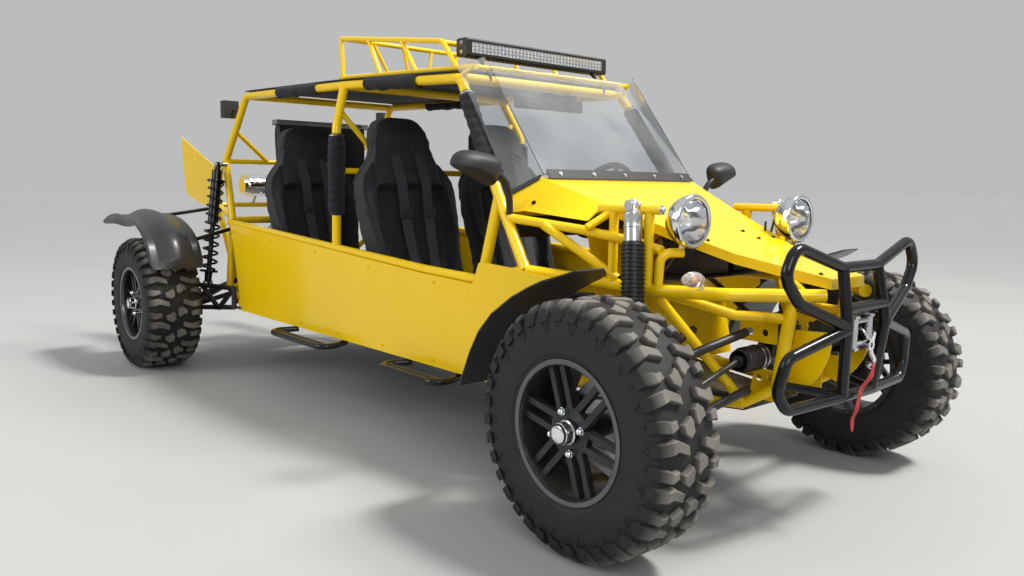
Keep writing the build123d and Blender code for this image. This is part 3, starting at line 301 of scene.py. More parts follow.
finishes = {
    "yellowPaint": {
        "color": (0.93, 0.61, 0.001), "second": (0.88, 0.555, 0.001), "patch": 1.6, "contrast": 1.5,
        "roughness": (0.20, 0.32), "grain": 90.0, "depth": 0.03, "dust": 0.03, "dustTop": 0.7,
        "dustScale": 5.0, "dustColor": (0.50, 0.38, 0.16),
        "sockets": {"Coat Weight": 0.22, "Coat Roughness": 0.08, "Specular IOR Level": 0.32},
    },
    "blackTube": {
        "color": (0.005, 0.005, 0.006), "second": (0.010, 0.010, 0.011), "roughness": (0.12, 0.22),
        "grain": 240.0, "depth": 0.05, "wear": 0.1, "bare": (0.05, 0.045, 0.04), "dust": 0.03,
        "sockets": {"Specular IOR Level": 0.36},
    },
    "blackSatin": {
        "color": (0.007, 0.007, 0.008), "second": (0.015, 0.0145, 0.014), "roughness": (0.32, 0.50),
        "grain": 260.0, "depth": 0.12, "wear": 0.25, "bare": (0.10, 0.08, 0.06), "dust": 0.16,
    },
    "wheelBlack": {
        "color": (0.012, 0.012, 0.013), "second": (0.020, 0.020, 0.021), "roughness": (0.26, 0.40),
        "grain": 300.0, "depth": 0.05, "wear": 0.3, "bare": (0.16, 0.155, 0.15), "dust": 0.14,
        "sockets": {"Metallic": 0.35},
    },
    "tyreRubber": {
        "color": (0.0085, 0.0085, 0.0095), "second": (0.016, 0.0155, 0.0155), "patch": 7.0, "contrast": 2.4,
        "roughness": (0.55, 0.78), "grain": 220.0, "depth": 0.35, "dust": 0.16, "dustTop": 1.2,
        "dustColor": (0.13, 0.118, 0.10), "dustScale": 22.0,
        "rubbed": (0.185, 0.172, 0.152), "attribute": "tread",
        "sockets": {"Specular IOR Level": 0.35},
    },
    "blackPlastic": {
        "color": (0.010, 0.010, 0.011), "second": (0.017, 0.017, 0.018), "roughness": (0.42, 0.58),
        "grain": 520.0, "depth": 0.30, "dust": 0.14,
    },
    "glossPlastic": {
        "color": (0.020, 0.020, 0.022), "second": (0.032, 0.032, 0.034), "roughness": (0.30, 0.44),
        "grain": 60.0, "depth": 0.03, "dust": 0.10,
        "sockets": {"Coat Weight": 0.12, "Coat Roughness": 0.2, "Specular IOR Level": 0.4},
    },
    "chromePlate": {
        "color": (0.86, 0.87, 0.88), "second": (0.78, 0.79, 0.80), "roughness": (0.04, 0.12),
        "grain": 40.0, "depth": 0.02, "sockets": {"Metallic": 1.0},
    },
    "zincSteel": {
        "color": (0.62, 0.63, 0.65), "second": (0.48, 0.49, 0.50), "patch": 18.0, "roughness": (0.24, 0.42),
        "grain": 320.0, "depth": 0.10, "dust": 0.15, "sockets": {"Metallic": 1.0},
    },
    "castAlloy": {
        "color": (0.42, 0.42, 0.43), "second": (0.30, 0.30, 0.30), "patch": 9.0, "roughness": (0.38, 0.60),
        "grain": 420.0, "depth": 0.45, "dust": 0.35, "sockets": {"Metallic": 0.85},
    },
    "bootRubber": {
        "color": (0.008, 0.008, 0.009), "second": (0.016, 0.016, 0.017), "roughness": (0.32, 0.48),
        "grain": 260.0, "depth": 0.12, "dust": 0.10,
    },
    "canvas": {
        "color": (0.0055, 0.0066, 0.0105), "second": (0.010, 0.0115, 0.0170), "patch": 8.0,
        "roughness": (0.70, 0.90), "woven": True, "grain": 420.0, "depth": 0.5, "dust": 0.05, "dustTop": 3.0,
        "sockets": {"Sheen Weight": 0.08, "Sheen Roughness": 0.5, "Specular IOR Level": 0.3},
    },
    "seatCloth": {
        "color": (0.0062, 0.0074, 0.0112), "second": (0.0110, 0.0126, 0.0175), "patch": 10.0,
        "roughness": (0.58, 0.80), "woven": True, "grain": 520.0, "depth": 0.35, "dust": 0.05, "dustTop": 2.0,
        "sockets": {"Specular IOR Level": 0.4, "Sheen Weight": 0.12, "Sheen Roughness": 0.4},
    },
    "rimEdge": {
        "color": (0.10, 0.10, 0.105), "second": (0.16, 0.16, 0.165), "patch": 12.0, "roughness": (0.20, 0.34),
        "grain": 300.0, "depth": 0.05, "dust": 0.15, "sockets": {"Metallic": 0.85},
    },
    "webbing": {
        "color": (0.017, 0.018, 0.024), "second": (0.030, 0.032, 0.040), "patch": 20.0,
        "roughness": (0.45, 0.65), "woven": True, "grain": 900.0, "depth": 0.5,
    },
    "strapRed": {
        "color": (0.42, 0.012, 0.014), "second": (0.28, 0.010, 0.014), "patch": 20.0,
        "roughness": (0.55, 0.80), "woven": True, "grain": 900.0, "depth": 0.5, "dust": 0.15, "dustTop": 1.5,
    },
    "mirrorGlass": {
        "color": (0.80, 0.84, 0.88), "second": (0.72, 0.77, 0.82), "patch": 4.0, "roughness": (0.02, 0.06),
        "grain": 20.0, "depth": 0.01, "sockets": {"Metallic": 1.0},
    },
    "sealRubber": {
        "color": (0.010, 0.010, 0.011), "second": (0.020, 0.020, 0.021), "roughness": (0.42, 0.60),
        "grain": 300.0, "depth": 0.2, "dust": 0.12, "dustTop": 1.4,
    },
    "amberGlass": {
        "color": (0.90, 0.40, 0.10), "second": (0.85, 0.33, 0.07), "roughness": (0.06, 0.14),
        "grain": 40.0, "depth": 0.02, "sockets": {"Coat Weight": 0.6},
    },
    "redSleeve": {
        "color": (0.45, 0.015, 0.012), "second": (0.36, 0.012, 0.010), "roughness": (0.35, 0.5),
        "grain": 200.0, "depth": 0.05,
    },
    # painted glow: the diodes and bulbs give off a faint light of their own, though no lamp is lit in them
    "whitePaintedGlow": {
        "color": (0.85, 0.86, 0.80), "second": (0.90, 0.88, 0.62), "patch": 120.0, "roughness": (0.15, 0.3),
        "grain": 60.0, "depth": 0.02,
        "sockets": {"Emission Color": (1, 0.98, 0.9, 1), "Emission Strength": 0.25},
    },
}
materials = {name: makeFinish(name, look) for name, look in finishes.items()}


def makeClear(name, look):
    # clear plastic or glass with faint smears in its gloss
    material, tree, shader = startMaterial(name)
    shader.inputs["Transmission Weight"].default_value = 1
    smears = useGroup(tree, "drift", Scale=9.0, Contrast=3.0)
    # a pale film of dust lies in drifts and lets a little less light through
    haze = useGroup(tree, "drift", Scale=3.2, Contrast=2.6)
    feed(tree, shader, {
        "Base Color": (*look["tint"], 1), "IOR": look["ior"], "Specular IOR Level": 0.5,
        "Roughness": addRange(tree, smears["Mask"], end=look["roughness"]),
        "Transmission Weight": addRange(tree, haze["Mask"], end=(1 - look["film"], 1 - look["film"] * 0.15)),
    })
    return material


clearLooks = {
    "shieldClear": {"tint": (0.96, 0.98, 0.98), "roughness": (0.0, 0.05), "ior": 1.38, "film": 0.14},
    "lampGlass": {"tint": (0.97, 0.98, 1.0), "roughness": (0.0, 0.03), "ior": 1.30, "film": 0.08},
    "signalLens": {"tint": (1.0, 0.97, 0.93), "roughness": (0.02, 0.08), "ior": 1.30, "film": 0.22},
}
materials.update((name, makeClear(name, look)) for name, look in clearLooks.items())


def makeFloor(name):
    material, tree, shader = startMaterial(name)
    drift = useGroup(tree, "drift", Color_A=(0.40, 0.40, 0.395, 1), Color_B=(0.36, 0.36, 0.357, 1),
                     Scale=0.8, Contrast=1.2)
    grain = useGroup(tree, "grain", Scale=120.0, Depth=0.15)
    feed(tree, shader, {
        "Specular IOR Level": 0.2, "Base Color": drift["Color"], "Normal": grain["Normal"],
        "Roughness": addRange(tree, drift["Mask"], end=(0.7, 0.85)),
    })
    return material


bpy.ops.object.select_all(action="DESELECT")
bpy.ops.mesh.primitive_plane_add(size=studio["floorSize"], location=(0, 0, 0))
floor = bpy.context.active_object
floor.name = "studioFloor"
floor.data.materials.append(makeFloor("floorPaint"))


# Which finish each carried-over node wears
def bothSides(*names):
    return [f"{name}_{sideName}" for name in names for side, sideName in sides]


dressing = {
    "yellowPaint": ["cross_tubes", "hood", "roof_rack", "nose_plates", "rear_cross_tubes", "rear_plates",
                    *bothSides("side_frame", "nose_frame", "side_panel", "rear_frame")],
    "blackTube": ["brush_guard", "side_steps"],
    "blackSatin": ["front_arms", "rear_arms", "tie_rods", "rack_housing", "steering_column", "light_bar",
                   "winch", "radiator", "floor_pan", *bothSides("knuckle")],
    "wheelBlack": bothSides("wheel_front", "wheel_rear"),
    "tyreRubber": bothSides("tyre_front", "tyre_rear"),
    "blackPlastic": ["dashboard", "mirrors", "rear_lamps", "steering_wheel"],
    "glossPlastic": ["front_fenders", "rear_fenders"],
    "chromePlate": ["headlamp_bowls", "winch_hook", "exhaust"],
    "zincSteel": ["fairlead"],
    "castAlloy": ["engine"],
    "bootRubber": ["front_coil_overs", "rear_coil_overs"],
    "canvas": ["canopy", "pillar_sleeves"],
    "strapRed": ["pull_strap"],
    "seatCloth": bothSides("seat_front", "seat_rear"),
    "shieldClear": ["windshield"],
    "lampGlass": ["headlamp_lenses", "light_bar_lens"],
    "signalLens": ["turn_signals"],
}
for finish, names in dressing.items():
    for name in names:
        for slot in nodes[name].material_slots:
            slot.material = materials[finish]
        if not nodes[name].material_slots:
            nodes[name].data.materials.append(materials[finish])
print("nodes dressed:", sum(len(names) for names in dressing.values()))


# Modelling helpers: everything is deselected first, and a finished piece has its place in its mesh
def clearSelection():
    if bpy.context.object and bpy.context.object.mode != "OBJECT":
        bpy.ops.object.mode_set(mode="OBJECT")
    bpy.ops.object.select_all(action="DESELECT")


def pickOnly(piece):
    clearSelection()
    piece.select_set(True)
    bpy.context.view_layer.objects.active = piece


def startEdit(piece):
    pickOnly(piece)
    bpy.ops.object.mode_set(mode="EDIT")
    bpy.ops.mesh.select_all(action="SELECT")


def endEdit():
    bpy.ops.object.mode_set(mode="OBJECT")


def addShape(operator, **settings):
    clearSelection()
    operator(**settings)
    return bpy.context.active_object


def bakePlace(piece):
    pickOnly(piece)
    bpy.ops.object.transform_apply(location=True, rotation=True, scale=True)


def moveVertices(piece, rule):
    # each point goes where the rule puts it
    for vertex in piece.data.vertices:
        vertex.co = rule(vertex.co)


def copyOf(master, place):
    # a copy with a mesh of its own
    twin = master.copy()
    twin.data = master.data.copy()
    bpy.context.scene.collection.objects.link(twin)
    twin.matrix_world = place
    return twin


def mendMesh(piece, distance=0.00002):
    # points that meet become one, and all faces look outwards
    startEdit(piece)
    bpy.ops.mesh.remove_doubles(threshold=distance)
    bpy.ops.mesh.normals_make_consistent(inside=False)
    endEdit()


def settle(piece, name, finish, smooth=35, mend=True, body="chassis"):
    bakePlace(piece)
    for modifier in [modifier.name for modifier in piece.modifiers]:
        bpy.ops.object.modifier_apply(modifier=modifier)
    if mend:
        mendMesh(piece)
    bpy.ops.object.shade_smooth_by_angle(angle=math.radians(smooth))
    piece.name = name
    piece.data.name = name
    piece.data.materials.clear()
    piece.data.materials.append(materials[finish])
    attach(piece, body)
    return piece


def joinPieces(pieces):
    clearSelection()
    for piece in pieces:
        piece.select_set(True)
    bpy.context.view_layer.objects.active = pieces[0]
    if len(pieces) > 1:
        bpy.ops.object.join()
    return bpy.context.view_layer.objects.active


def placeCopies(master, places):
    # a copy of the master at each place, all joined at the end
    copies = [copyOf(master, place) for place in places]
    bpy.data.objects.remove(master)
    return joinPieces(copies)


def facing(place, direction):
    # a place whose own Z looks along the direction
    turn = Vector(direction).to_track_quat("Z", "Y").to_matrix().to_4x4()
    return Matrix.Translation(Vector(place)) @ turn


def bevelAll(piece, width, segments=2):
    startEdit(piece)
    bpy.ops.mesh.bevel(offset=width, segments=segments, affect="EDGES")
    endEdit()


def wrapGrid(columns, rows, shape):
    # a grid whose points are moved one by one: shape gives the place of (across, along), each 0 to 1
    piece = addShape(bpy.ops.mesh.primitive_grid_add, x_subdivisions=columns, y_subdivisions=rows, size=1)
    moveVertices(piece, lambda spot: shape(spot.x + 0.5, spot.y + 0.5))
    return piece


def alongPoints(points, share):
    # a smooth line through the points
    spans = len(points) - 1
    spot = min(max(share, 0) * spans, spans - 0.000001)
    index = int(spot)
    t = spot - index
    before, start = points[max(index - 1, 0)], points[index]
    end, after = points[index + 1], points[min(index + 2, spans)]
    return 0.5 * (2 * start + (end - before) * t + (2 * before - 5 * start + 4 * end - after) * t * t
                  + (3 * start - before - 3 * end + after) * t ** 3)


def thicken(piece, amount, offset=0.0):
    wall = piece.modifiers.new("wall", "SOLIDIFY")
    wall.thickness = amount
    wall.offset = offset
    wall.use_even_offset = True


def makeStrap(name, finish, points, width, across, thick=0.003, ripple=0.0):
    # flat webbing along a smooth line, with a slight wave across its length
    points = [Vector(point) for point in points]
    across = Vector(across).normalized()
    normal = across.cross(points[-1] - points[0]).normalized()

    def shape(side, along):
        wave = normal * (ripple * math.sin(along * 17.0) + ripple * 0.5 * math.sin(along * 31.0 + side * 2.0))
        return alongPoints(points, along) + across * width * (side - 0.5) + wave

    piece = wrapGrid(6, 14 * (len(points) - 1), shape)
    thicken(piece, thick)
    return settle(piece, name, finish, 50)


def makeWire(name, finish, lines, radius):
    # bent rods, pipes and wires that are fixed at both ends, one or more lines in a piece
    parts = []
    for line in lines:
        data = bpy.data.curves.new(name, "CURVE")
        data.dimensions = "3D"
        data.bevel_depth = radius
        data.bevel_resolution = 3
        data.resolution_u = 8
        data.use_fill_caps = True
        spline = data.splines.new("NURBS")
        spline.points.add(len(line) - 1)
        for point, place in zip(spline.points, line):
            point.co = (*place, 1)
        spline.order_u = 3
        spline.use_endpoint_u = True
        pickOnly(addObject(name, data))
        bpy.ops.object.convert(target="MESH")
        parts.append(bpy.context.view_layer.objects.active)
    return settle(joinPieces(parts), name, finish, 60)


def makeBolts(name, finish, spots, size=0.006):
    # hexagon heads with bevelled rims on washers
    cylinder = bpy.ops.mesh.primitive_cylinder_add
    washer = addShape(cylinder, vertices=16, radius=size * 1.6, depth=size * 0.3,
                      location=(0, 0, size * 0.15))
    head = addShape(cylinder, vertices=6, radius=size, depth=size * 0.8, location=(0, 0, size * 0.7))
    bevelAll(head, size * 0.12, 1)
    master = joinPieces([washer, head])
    bakePlace(master)
    return settle(placeCopies(master, [facing(place, normal) for place, normal in spots]), name, finish, 30)


def makeBlock(name, finish, low, high, bevel, segments=3):
    # a box with rounded edges between two corners
    low, high = Vector(low), Vector(high)
    piece = addShape(bpy.ops.mesh.primitive_cube_add, size=1)
    moveVertices(piece, lambda spot: Vector([
        low[i] + (high[i] - low[i]) * (spot[i] + 0.5) for i in range(3)]))
    bevelAll(piece, bevel, segments)
    return settle(piece, name, finish, 40)


def spinOutline(name, points, steps, axis, closed=False):
    # an outline taken once round an axis through the origin
    shape = bmesh.new()
    corners = [shape.verts.new(point) for point in points]
    for start, end in zip(corners, corners[1:] + corners[:1] if closed else corners[1:]):
        shape.edges.new((start, end))
    piece = addObject(name, bpy.data.meshes.new(name))
    shape.to_mesh(piece.data)
    shape.free()
    startEdit(piece)
    bpy.ops.mesh.spin(steps=steps, angle=math.tau, center=(0, 0, 0), axis=axis)
    endEdit()
    return piece


def makeTurned(name, finish, profile, place, axis, steps=40, smooth=35):
    # a turned piece: profile points are (along the axis, radius)
    piece = spinOutline(name, [(radius, 0, along) for along, radius in profile], steps, (0, 0, 1))
    piece.matrix_world = facing(place, axis)
    return settle(piece, name, finish, smooth)


def makeRing(section, steps):
    # a closed section of (along, radius) spun about Y
    piece = spinOutline("ring", [(radius, along, 0) for along, radius in section], steps, (0, 1, 0), True)
    mendMesh(piece)
    return piece


print("helpers ready")

# Tyres: one for each axle, with lugs drawn flat for one pitch, wrapped round, and copied to both sides
tyre = {
    "pitches": 18, "outer": 0.343, "carcass": 0.325, "crown": 0.37, "crownDrop": 0.002, "edgeRadius": 0.315,
    "draft": 0.0035, "round": 0.0020, "flank": 0.40, "flankFoot": 0.290, "widest": 0.497, "fold": 0.22,
    # the lug tops are rubbed from this radius on, fully after the run
    "rubbedFrom": 0.329, "rubbedRun": 0.010,
    # lug outlines for one side of a pitch: share of the width across, metres around
    "lugs": [
        [(0.115, -0.050), (0.290, -0.036), (0.500, -0.046), (0.500, -0.010), (0.310, 0.000), (0.200, -0.012),
         (0.115, -0.024)],
        [(0.250, 0.020), (0.360, 0.010), (0.500, 0.016), (0.500, 0.050), (0.400, 0.048), (0.330, 0.040),
         (0.260, 0.042)],
        [(0.012, 0.002), (0.090, -0.012), (0.180, 0.002), (0.200, 0.026), (0.120, 0.034), (0.050, 0.046),
         (0.012, 0.034)],
    ],
    # raised lines on the sidewall: metres around at the mean radius, radius
    "ridgeHalf": 0.0034, "ridgeLap": 0.002, "ridgeMean": 0.3,
    "ridgeFoot": (-0.003, 1.0), "ridgeTop": (0.0026, 0.6),
    "ridges": [[(-0.052, 0.309), (-0.042, 0.284), (-0.028, 0.262), (-0.014, 0.284), (-0.006, 0.306)],
               [(-0.040, 0.306), (-0.030, 0.285), (-0.018, 0.306)],
               [(0.014, 0.308), (0.030, 0.276), (0.048, 0.308)]],
    # carcass section: share of the width across, radius
    "section": [(-0.40, 0.184), (-0.425, 0.191), (-0.445, 0.193), (-0.452, 0.201), (-0.466, 0.205),
                (-0.476, 0.228), (-0.480, 0.250), (-0.477, 0.272), (-0.466, 0.296), (-0.430, 0.312),
                (-0.350, 0.3225), (-0.2, 0.3255), (0, 0.326)],
    "axles": {"front": (1.750, 0.708, 0.230), "rear": (-1.355, 0.845, 0.280)},
}


def lugHeight(across, width):
    # radius of the lug tops: flat crown, then down over the shoulder
    share = abs(across) / width
    if share <= tyre["crown"]:
        return tyre["outer"] - tyre["crownDrop"] * (share / tyre["crown"]) ** 2
    slide = (share - tyre["crown"]) / (0.5 - tyre["crown"])
    fall = tyre["outer"] - tyre["edgeRadius"] - tyre["crownDrop"]
    return tyre["outer"] - tyre["crownDrop"] - fall * slide


def makeLug(outline, width, hand):
    # a tapered block on the flat: X around, Y across, Z from the carcass to the tread
    outline = [Vector((hand * around, hand * min(across, tyre["widest"]) * width))
               for across, around in outline]
    middle = sum(outline, Vector((0, 0))) / len(outline)
    mesh = bmesh.new()
    foot = [mesh.verts.new((*point, 0)) for point in outline]
    top = [mesh.verts.new((*(point + (middle - point).normalized() * tyre["draft"]), 1)) for point in outline]
    mesh.faces.new(list(reversed(foot)))
    mesh.faces.new(top)
    for index in range(len(outline)):
        after = (index + 1) % len(outline)
        mesh.faces.new([foot[index], foot[after], top[after], top[index]])
    for share in (tyre["crown"], tyre["fold"]):
        geometry = mesh.verts[:] + mesh.edges[:] + mesh.faces[:]
        bmesh.ops.bisect_plane(mesh, geom=geometry, plane_co=(0, hand * share * width, 0), plane_no=(0, 1, 0))
    rims = [edge for edge in mesh.edges if all(vertex.co.z > 0.99 for vertex in edge.verts)
            and any(abs(face.normal.z) < 0.5 for face in edge.link_faces)]
    bmesh.ops.bevel(mesh, geom=rims, offset=tyre["round"], segments=1, affect="EDGES")
    for vertex in mesh.verts:
        # the bevel works in metres, the height is a share: bring the lower rim of the bevel near the top
        if 0.5 < vertex.co.z < 0.9999:
            vertex.co.z = 0.90
    data = bpy.data.meshes.new("lug")
    mesh.to_mesh(data)
    mesh.free()
    return data


def sidewallAt(radius):
    # share of the width at a radius on the sidewall
    rows = tyre["section"]
    for (startShare, startRadius), (endShare, endRadius) in zip(rows, rows[1:]):
        if startRadius <= radius <= endRadius:
            return -startShare - (endShare - startShare) * (radius - startRadius) / (endRadius - startRadius)
    return 0.43


def addRidge(shape, start, end, turn, hand, width):
    # one straight raised line on the sidewall, sunk a little at its foot
    way = (Vector(end) - Vector(start)).normalized()
    beside = Vector((-way.y, way.x))
    corners = []
    for spot, reach in ((Vector(start), -tyre["ridgeLap"]), (Vector(end), tyre["ridgeLap"])):
        for half in (-1, 1):
            for high, slim in (tyre["ridgeFoot"], tyre["ridgeTop"]):
                around, radius = spot + way * reach + beside * half * tyre["ridgeHalf"] * slim
                angle = turn + hand * around / tyre["ridgeMean"]
                across = hand * (sidewallAt(radius) * width + high)
                corners.append(shape.verts.new((radius * math.sin(angle), across, radius * math.cos(angle))))
    for face in ((0, 1, 3, 2), (4, 6, 7, 5), (0, 4, 5, 1), (2, 3, 7, 6), (1, 5, 7, 3), (0, 2, 6, 4)):
        shape.faces.new([corners[index] for index in face])


def wrapLug(shape, lug, turn, width):
    # the flat lug goes round the tyre, standing on the carcass or on its flank
    start = len(shape.verts)
    shape.from_mesh(lug)
    shape.verts.ensure_lookup_table()
    for vertex in shape.verts[start:]:
        angle = turn + vertex.co.x / tyre["outer"]
        high = lugHeight(vertex.co.y, width)
        low = tyre["carcass"] - 0.005 if abs(vertex.co.y) < tyre["flank"] * width else tyre["flankFoot"]
        radius = low + (high - low) * vertex.co.z
        vertex.co = Vector((radius * math.sin(angle), vertex.co.y, radius * math.cos(angle)))


def makeTyre(width):
    shape = bmesh.new()
    pitch = math.tau / tyre["pitches"]
    for hand in (1, -1):
        turns = [pitch * (number + (0.5 if hand == -1 else 0)) for number in range(tyre["pitches"])]
        for outline in tyre["lugs"]:
            lug = makeLug(outline, width, hand)
            for turn in turns:
                wrapLug(shape, lug, turn, width)
            bpy.data.meshes.remove(lug)
        for line in tyre["ridges"]:
            for turn in turns:
                for start, end in zip(line, line[1:]):
                    addRidge(shape, start, end, turn, hand, width)
    lugs = addObject("lugs", bpy.data.meshes.new("lugs"))
    shape.to_mesh(lugs.data)
    shape.free()
    section = tyre["section"] + [(-across, radius) for across, radius in reversed(tyre["section"][:-1])]
    carcass = makeRing([(across * width, radius) for across, radius in section], 108)
    piece = joinPieces([carcass, lugs])
    tread = piece.data.attributes.new("tread", "FLOAT", "POINT")
    for index, vertex in enumerate(piece.data.vertices):
        # rubbed pale where the lugs meet the road
        radius = math.hypot(vertex.co.x, vertex.co.z)
        tread.data[index].value = min(max((radius - tyre["rubbedFrom"]) / tyre["rubbedRun"], 0), 1)
    return piece


def wheelPlace(axle, side):
    x, track, width = tyre["axles"][axle]
    place = Matrix.Translation((x, side * track, tyre["outer"]))
    return place if side == 1 else place @ Matrix.Rotation(math.pi, 4, "Z")


def onWheels(name, finish, makeOne, smooth=35, replaced=None):
    # one piece for each axle, copied to the left and the right wheel
    for axle in ("front", "rear"):
        master = makeOne(axle)
        for side, sideName in sides:
            twin = copyOf(master, wheelPlace(axle, side))
            settle(twin, f"{name}_{axle}_{sideName}", finish, smooth, body=f"wheel_{axle}_{sideName}")
            if replaced:
                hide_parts(f"{replaced}_{axle}_{sideName}")
        bpy.data.objects.remove(master)


onWheels("knobbyTyre", "tyreRubber", lambda axle: makeTyre(tyre["axles"][axle][2]), 28, "tyre")
print("tyres made")

# Wheel trim: machined lip, chrome nuts and cap, stepped brake disc
wheelTrim = {
    "faceShare": {"front": 0.37, "rear": 0.345},
    "nutCircle": 0.055, "nutStart": 16, "nut": 0.0125, "nutHigh": 0.026,
    # cap and lip sections: along the axle, radius more than the cap's or the lip's
    "cap": 0.0295,
    "capSection": [(0.008, 0.003), (0.012, 0.003), (0.014, 0), (0.036, 0), (0.041, -0.004), (0.0435, -0.010)],
    "lip": 0.187, "lipShare": 0.415,
    "lipSection": [(-0.012, -0.0140), (0.002, -0.0130), (0.0075, -0.0105), (0.0098, -0.003), (0.0100, 0.003),
                   (0.0088, 0.0045), (0.0070, 0.0035), (0.0040, -0.0045), (-0.012, -0.0075)],
    # steps of the disc from its rim inwards: width, rise
    "disc": 0.1185, "discPlace": -0.0415,
    "discSteps": [(0.010, 0), (0.012, -0.0012), (0.012, 0.0012), (0.012, 0), (0.008, 0.006)],
}


def makeNuts(axle):
    # acorn nuts and the hub cap, standing on the spoked face
    face = wheelTrim["faceShare"][axle] * tyre["axles"][axle][2]
    nut, high, circle = wheelTrim["nut"], wheelTrim["nutHigh"], wheelTrim["nutCircle"]
    parts = []
    for number in range(4):
        angle = math.radians(wheelTrim["nutStart"] + 90 * number)
        base = addShape(bpy.ops.mesh.primitive_cylinder_add, vertices=6, radius=nut, depth=high * 0.6)
        bevelAll(base, 0.0012, 1)
        dome = addShape(bpy.ops.mesh.primitive_uv_sphere_add, segments=16, ring_count=8, radius=nut * 0.8,
                        location=(0, 0, high * 0.3))
        whole = joinPieces([base, dome])
        place = (circle * math.cos(angle), face + high * 0.3, -circle * math.sin(angle))
        whole.matrix_world = facing(place, (0, 1, 0))
        bakePlace(whole)
        parts.append(whole)
    cap = [(face + along, wheelTrim["cap"] + more) for along, more in wheelTrim["capSection"]]
    parts.append(makeRing([(face + 0.008, 0.0)] + cap + [(face + 0.0445, 0.0)], 40))
    return joinPieces(parts)


def makeLip(axle):
    # machined outer lip of the rim, with a bead-lock groove
    lip = wheelTrim["lipShare"] * tyre["axles"][axle][2]
    return makeRing([(lip + along, wheelTrim["lip"] + more) for along, more in wheelTrim["lipSection"]], 96)


def makeDisc(axle):
    # stepped skin of the brake disc, just outside the plain one
    disc = addShape(bpy.ops.mesh.primitive_circle_add, vertices=80, radius=wheelTrim["disc"],
                    fill_type="NGON")
    bpy.ops.object.mode_set(mode="EDIT")
    for wide, rise in wheelTrim["discSteps"]:
        bpy.ops.mesh.inset(thickness=wide, depth=rise)
    endEdit()
    disc.matrix_world = facing((0, wheelTrim["discPlace"], 0), (0, 1, 0))
    thicken(disc, 0.003, -1)
    bakePlace(disc)
    return disc


onWheels("wheelNuts", "chromePlate", makeNuts, 32)
onWheels("rimLip", "rimEdge", makeLip, 40)
onWheels("brakeDisc", "zincSteel", makeDisc, 30)
print("wheel trim made")

# Light bar: rows of square reflector cups with a diode in each, behind a thin clear lens
lightBar = {
    "x": 0.7462, "z": 1.477, "half": 0.342, "columns": 38, "rows": 3, "high": 0.0375, "depth": 0.0042,
    "rim": 0.0007, "slope": 0.27, "diode": (0.0045, 0.0035, 0.0012),
}


def makeCups(setup):
    across = 2 * setup["half"] / setup["columns"]
    up = setup["high"] / setup["rows"]
    cup = addShape(bpy.ops.mesh.primitive_plane_add, size=1)
    moveVertices(cup, lambda spot: Vector((spot.x * across, spot.y * up, 0)))
    startEdit(cup)
    bpy.ops.mesh.inset(thickness=setup["rim"])
    bpy.ops.mesh.inset(thickness=up * setup["slope"], depth=-setup["depth"])
    endEdit()
    diode = addShape(bpy.ops.mesh.primitive_cube_add, size=1)
    wide, high, thick = setup["diode"]
    moveVertices(diode, lambda spot: Vector((
        spot.x * wide, spot.y * high, (spot.z + 0.5) * thick - setup["depth"])))
    bevelAll(diode, 0.0005, 1)
    outward = Matrix(((0, 0, 1, 0), (1, 0, 0, 0), (0, 1, 0, 0), (0, 0, 0, 1)))
    places = []
    for column in range(setup["columns"]):
        for row in range(setup["rows"]):
            place = Vector((setup["x"] + setup["depth"], (column + 0.5) * across - setup["half"],
                            setup["z"] + (row + 0.5) * up - setup["high"] / 2))
            places.append(Matrix.Translation(place) @ outward)
    settle(placeCopies(cup, places), "lightCups", "chromePlate", 10)
    # the diodes carry the painted glow
    settle(placeCopies(diode, places), "lightDiodes", "whitePaintedGlow", 30)


makeCups(lightBar)
lens = makeBlock("lightBarGlass", "lampGlass", (0.7516, -0.3448, 1.4572), (0.7529, 0.3448, 1.4968), 0.0005, 1)
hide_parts("light_bar_lens")
makeBolts("lightBarBolts", "zincSteel",
          [((0.721, side * 0.3691, z), (0, side, 0)) for side in (1, -1) for z in (1.460, 1.494)]
          + [((0.7995, side * 0.3032, 1.3635), (0, side, 0)) for side in (1, -1)], 0.005)
print("light bar made")

# Headlamps: domed fluted glass, chrome ring, bright inner bowl and a bulb
headlamp = {
    "x": 1.733, "y": 0.287, "z": 0.873, "radius": 0.0655,
    # sections from the glass's rim: along the axis, radius less than the lamp's
    "bowl": [(-0.013, 0), (-0.030, -0.010), (-0.050, -0.024), (-0.066, -0.040)],
    "bowlBack": [(-0.068, -0.037), (-0.052, -0.021), (-0.031, -0.008), (-0.013, 0.001)],
    "ring": [(-0.006, 0.0005), (-0.006, 0.0140), (0.001, 0.0148), (0.006, 0.0120), (0.0075, 0.0060),
             (0.005, 0.0005)],
    "glass": [(-0.004, 0), (0.003, -0.003), (0.009, -0.018), (0.0125, -0.038)],
    "glassBack": [(0.0105, -0.038), (0.007, -0.018), (0.001, -0.004), (-0.006, -0.001)],
    # sections round the axis itself: along it, radius
    "bowlFoot": [(-0.074, 0.012), (-0.074, 0.0), (-0.0765, 0.0), (-0.0765, 0.014)],
    "glassTip": [(0.0135, 0.0), (0.0115, 0.0)],
    "bulb": [(-0.076, 0.0), (-0.076, 0.012), (-0.064, 0.012), (-0.062, 0.007), (-0.040, 0.0065),
             (-0.034, 0.004), (-0.032, 0.0)],
}


def lampSection(key, middle=None, back=None):
    # outer points are measured from the lamp's radius, the middle ones from its axis
    x, radius = headlamp["x"], headlamp["radius"]
    points = [(x + along, radius + more) for along, more in headlamp[key]]
    if middle:
        points += [(x + along, wide) for along, wide in headlamp[middle]]
        points += [(x + along, radius + more) for along, more in headlamp[back]]
    return points


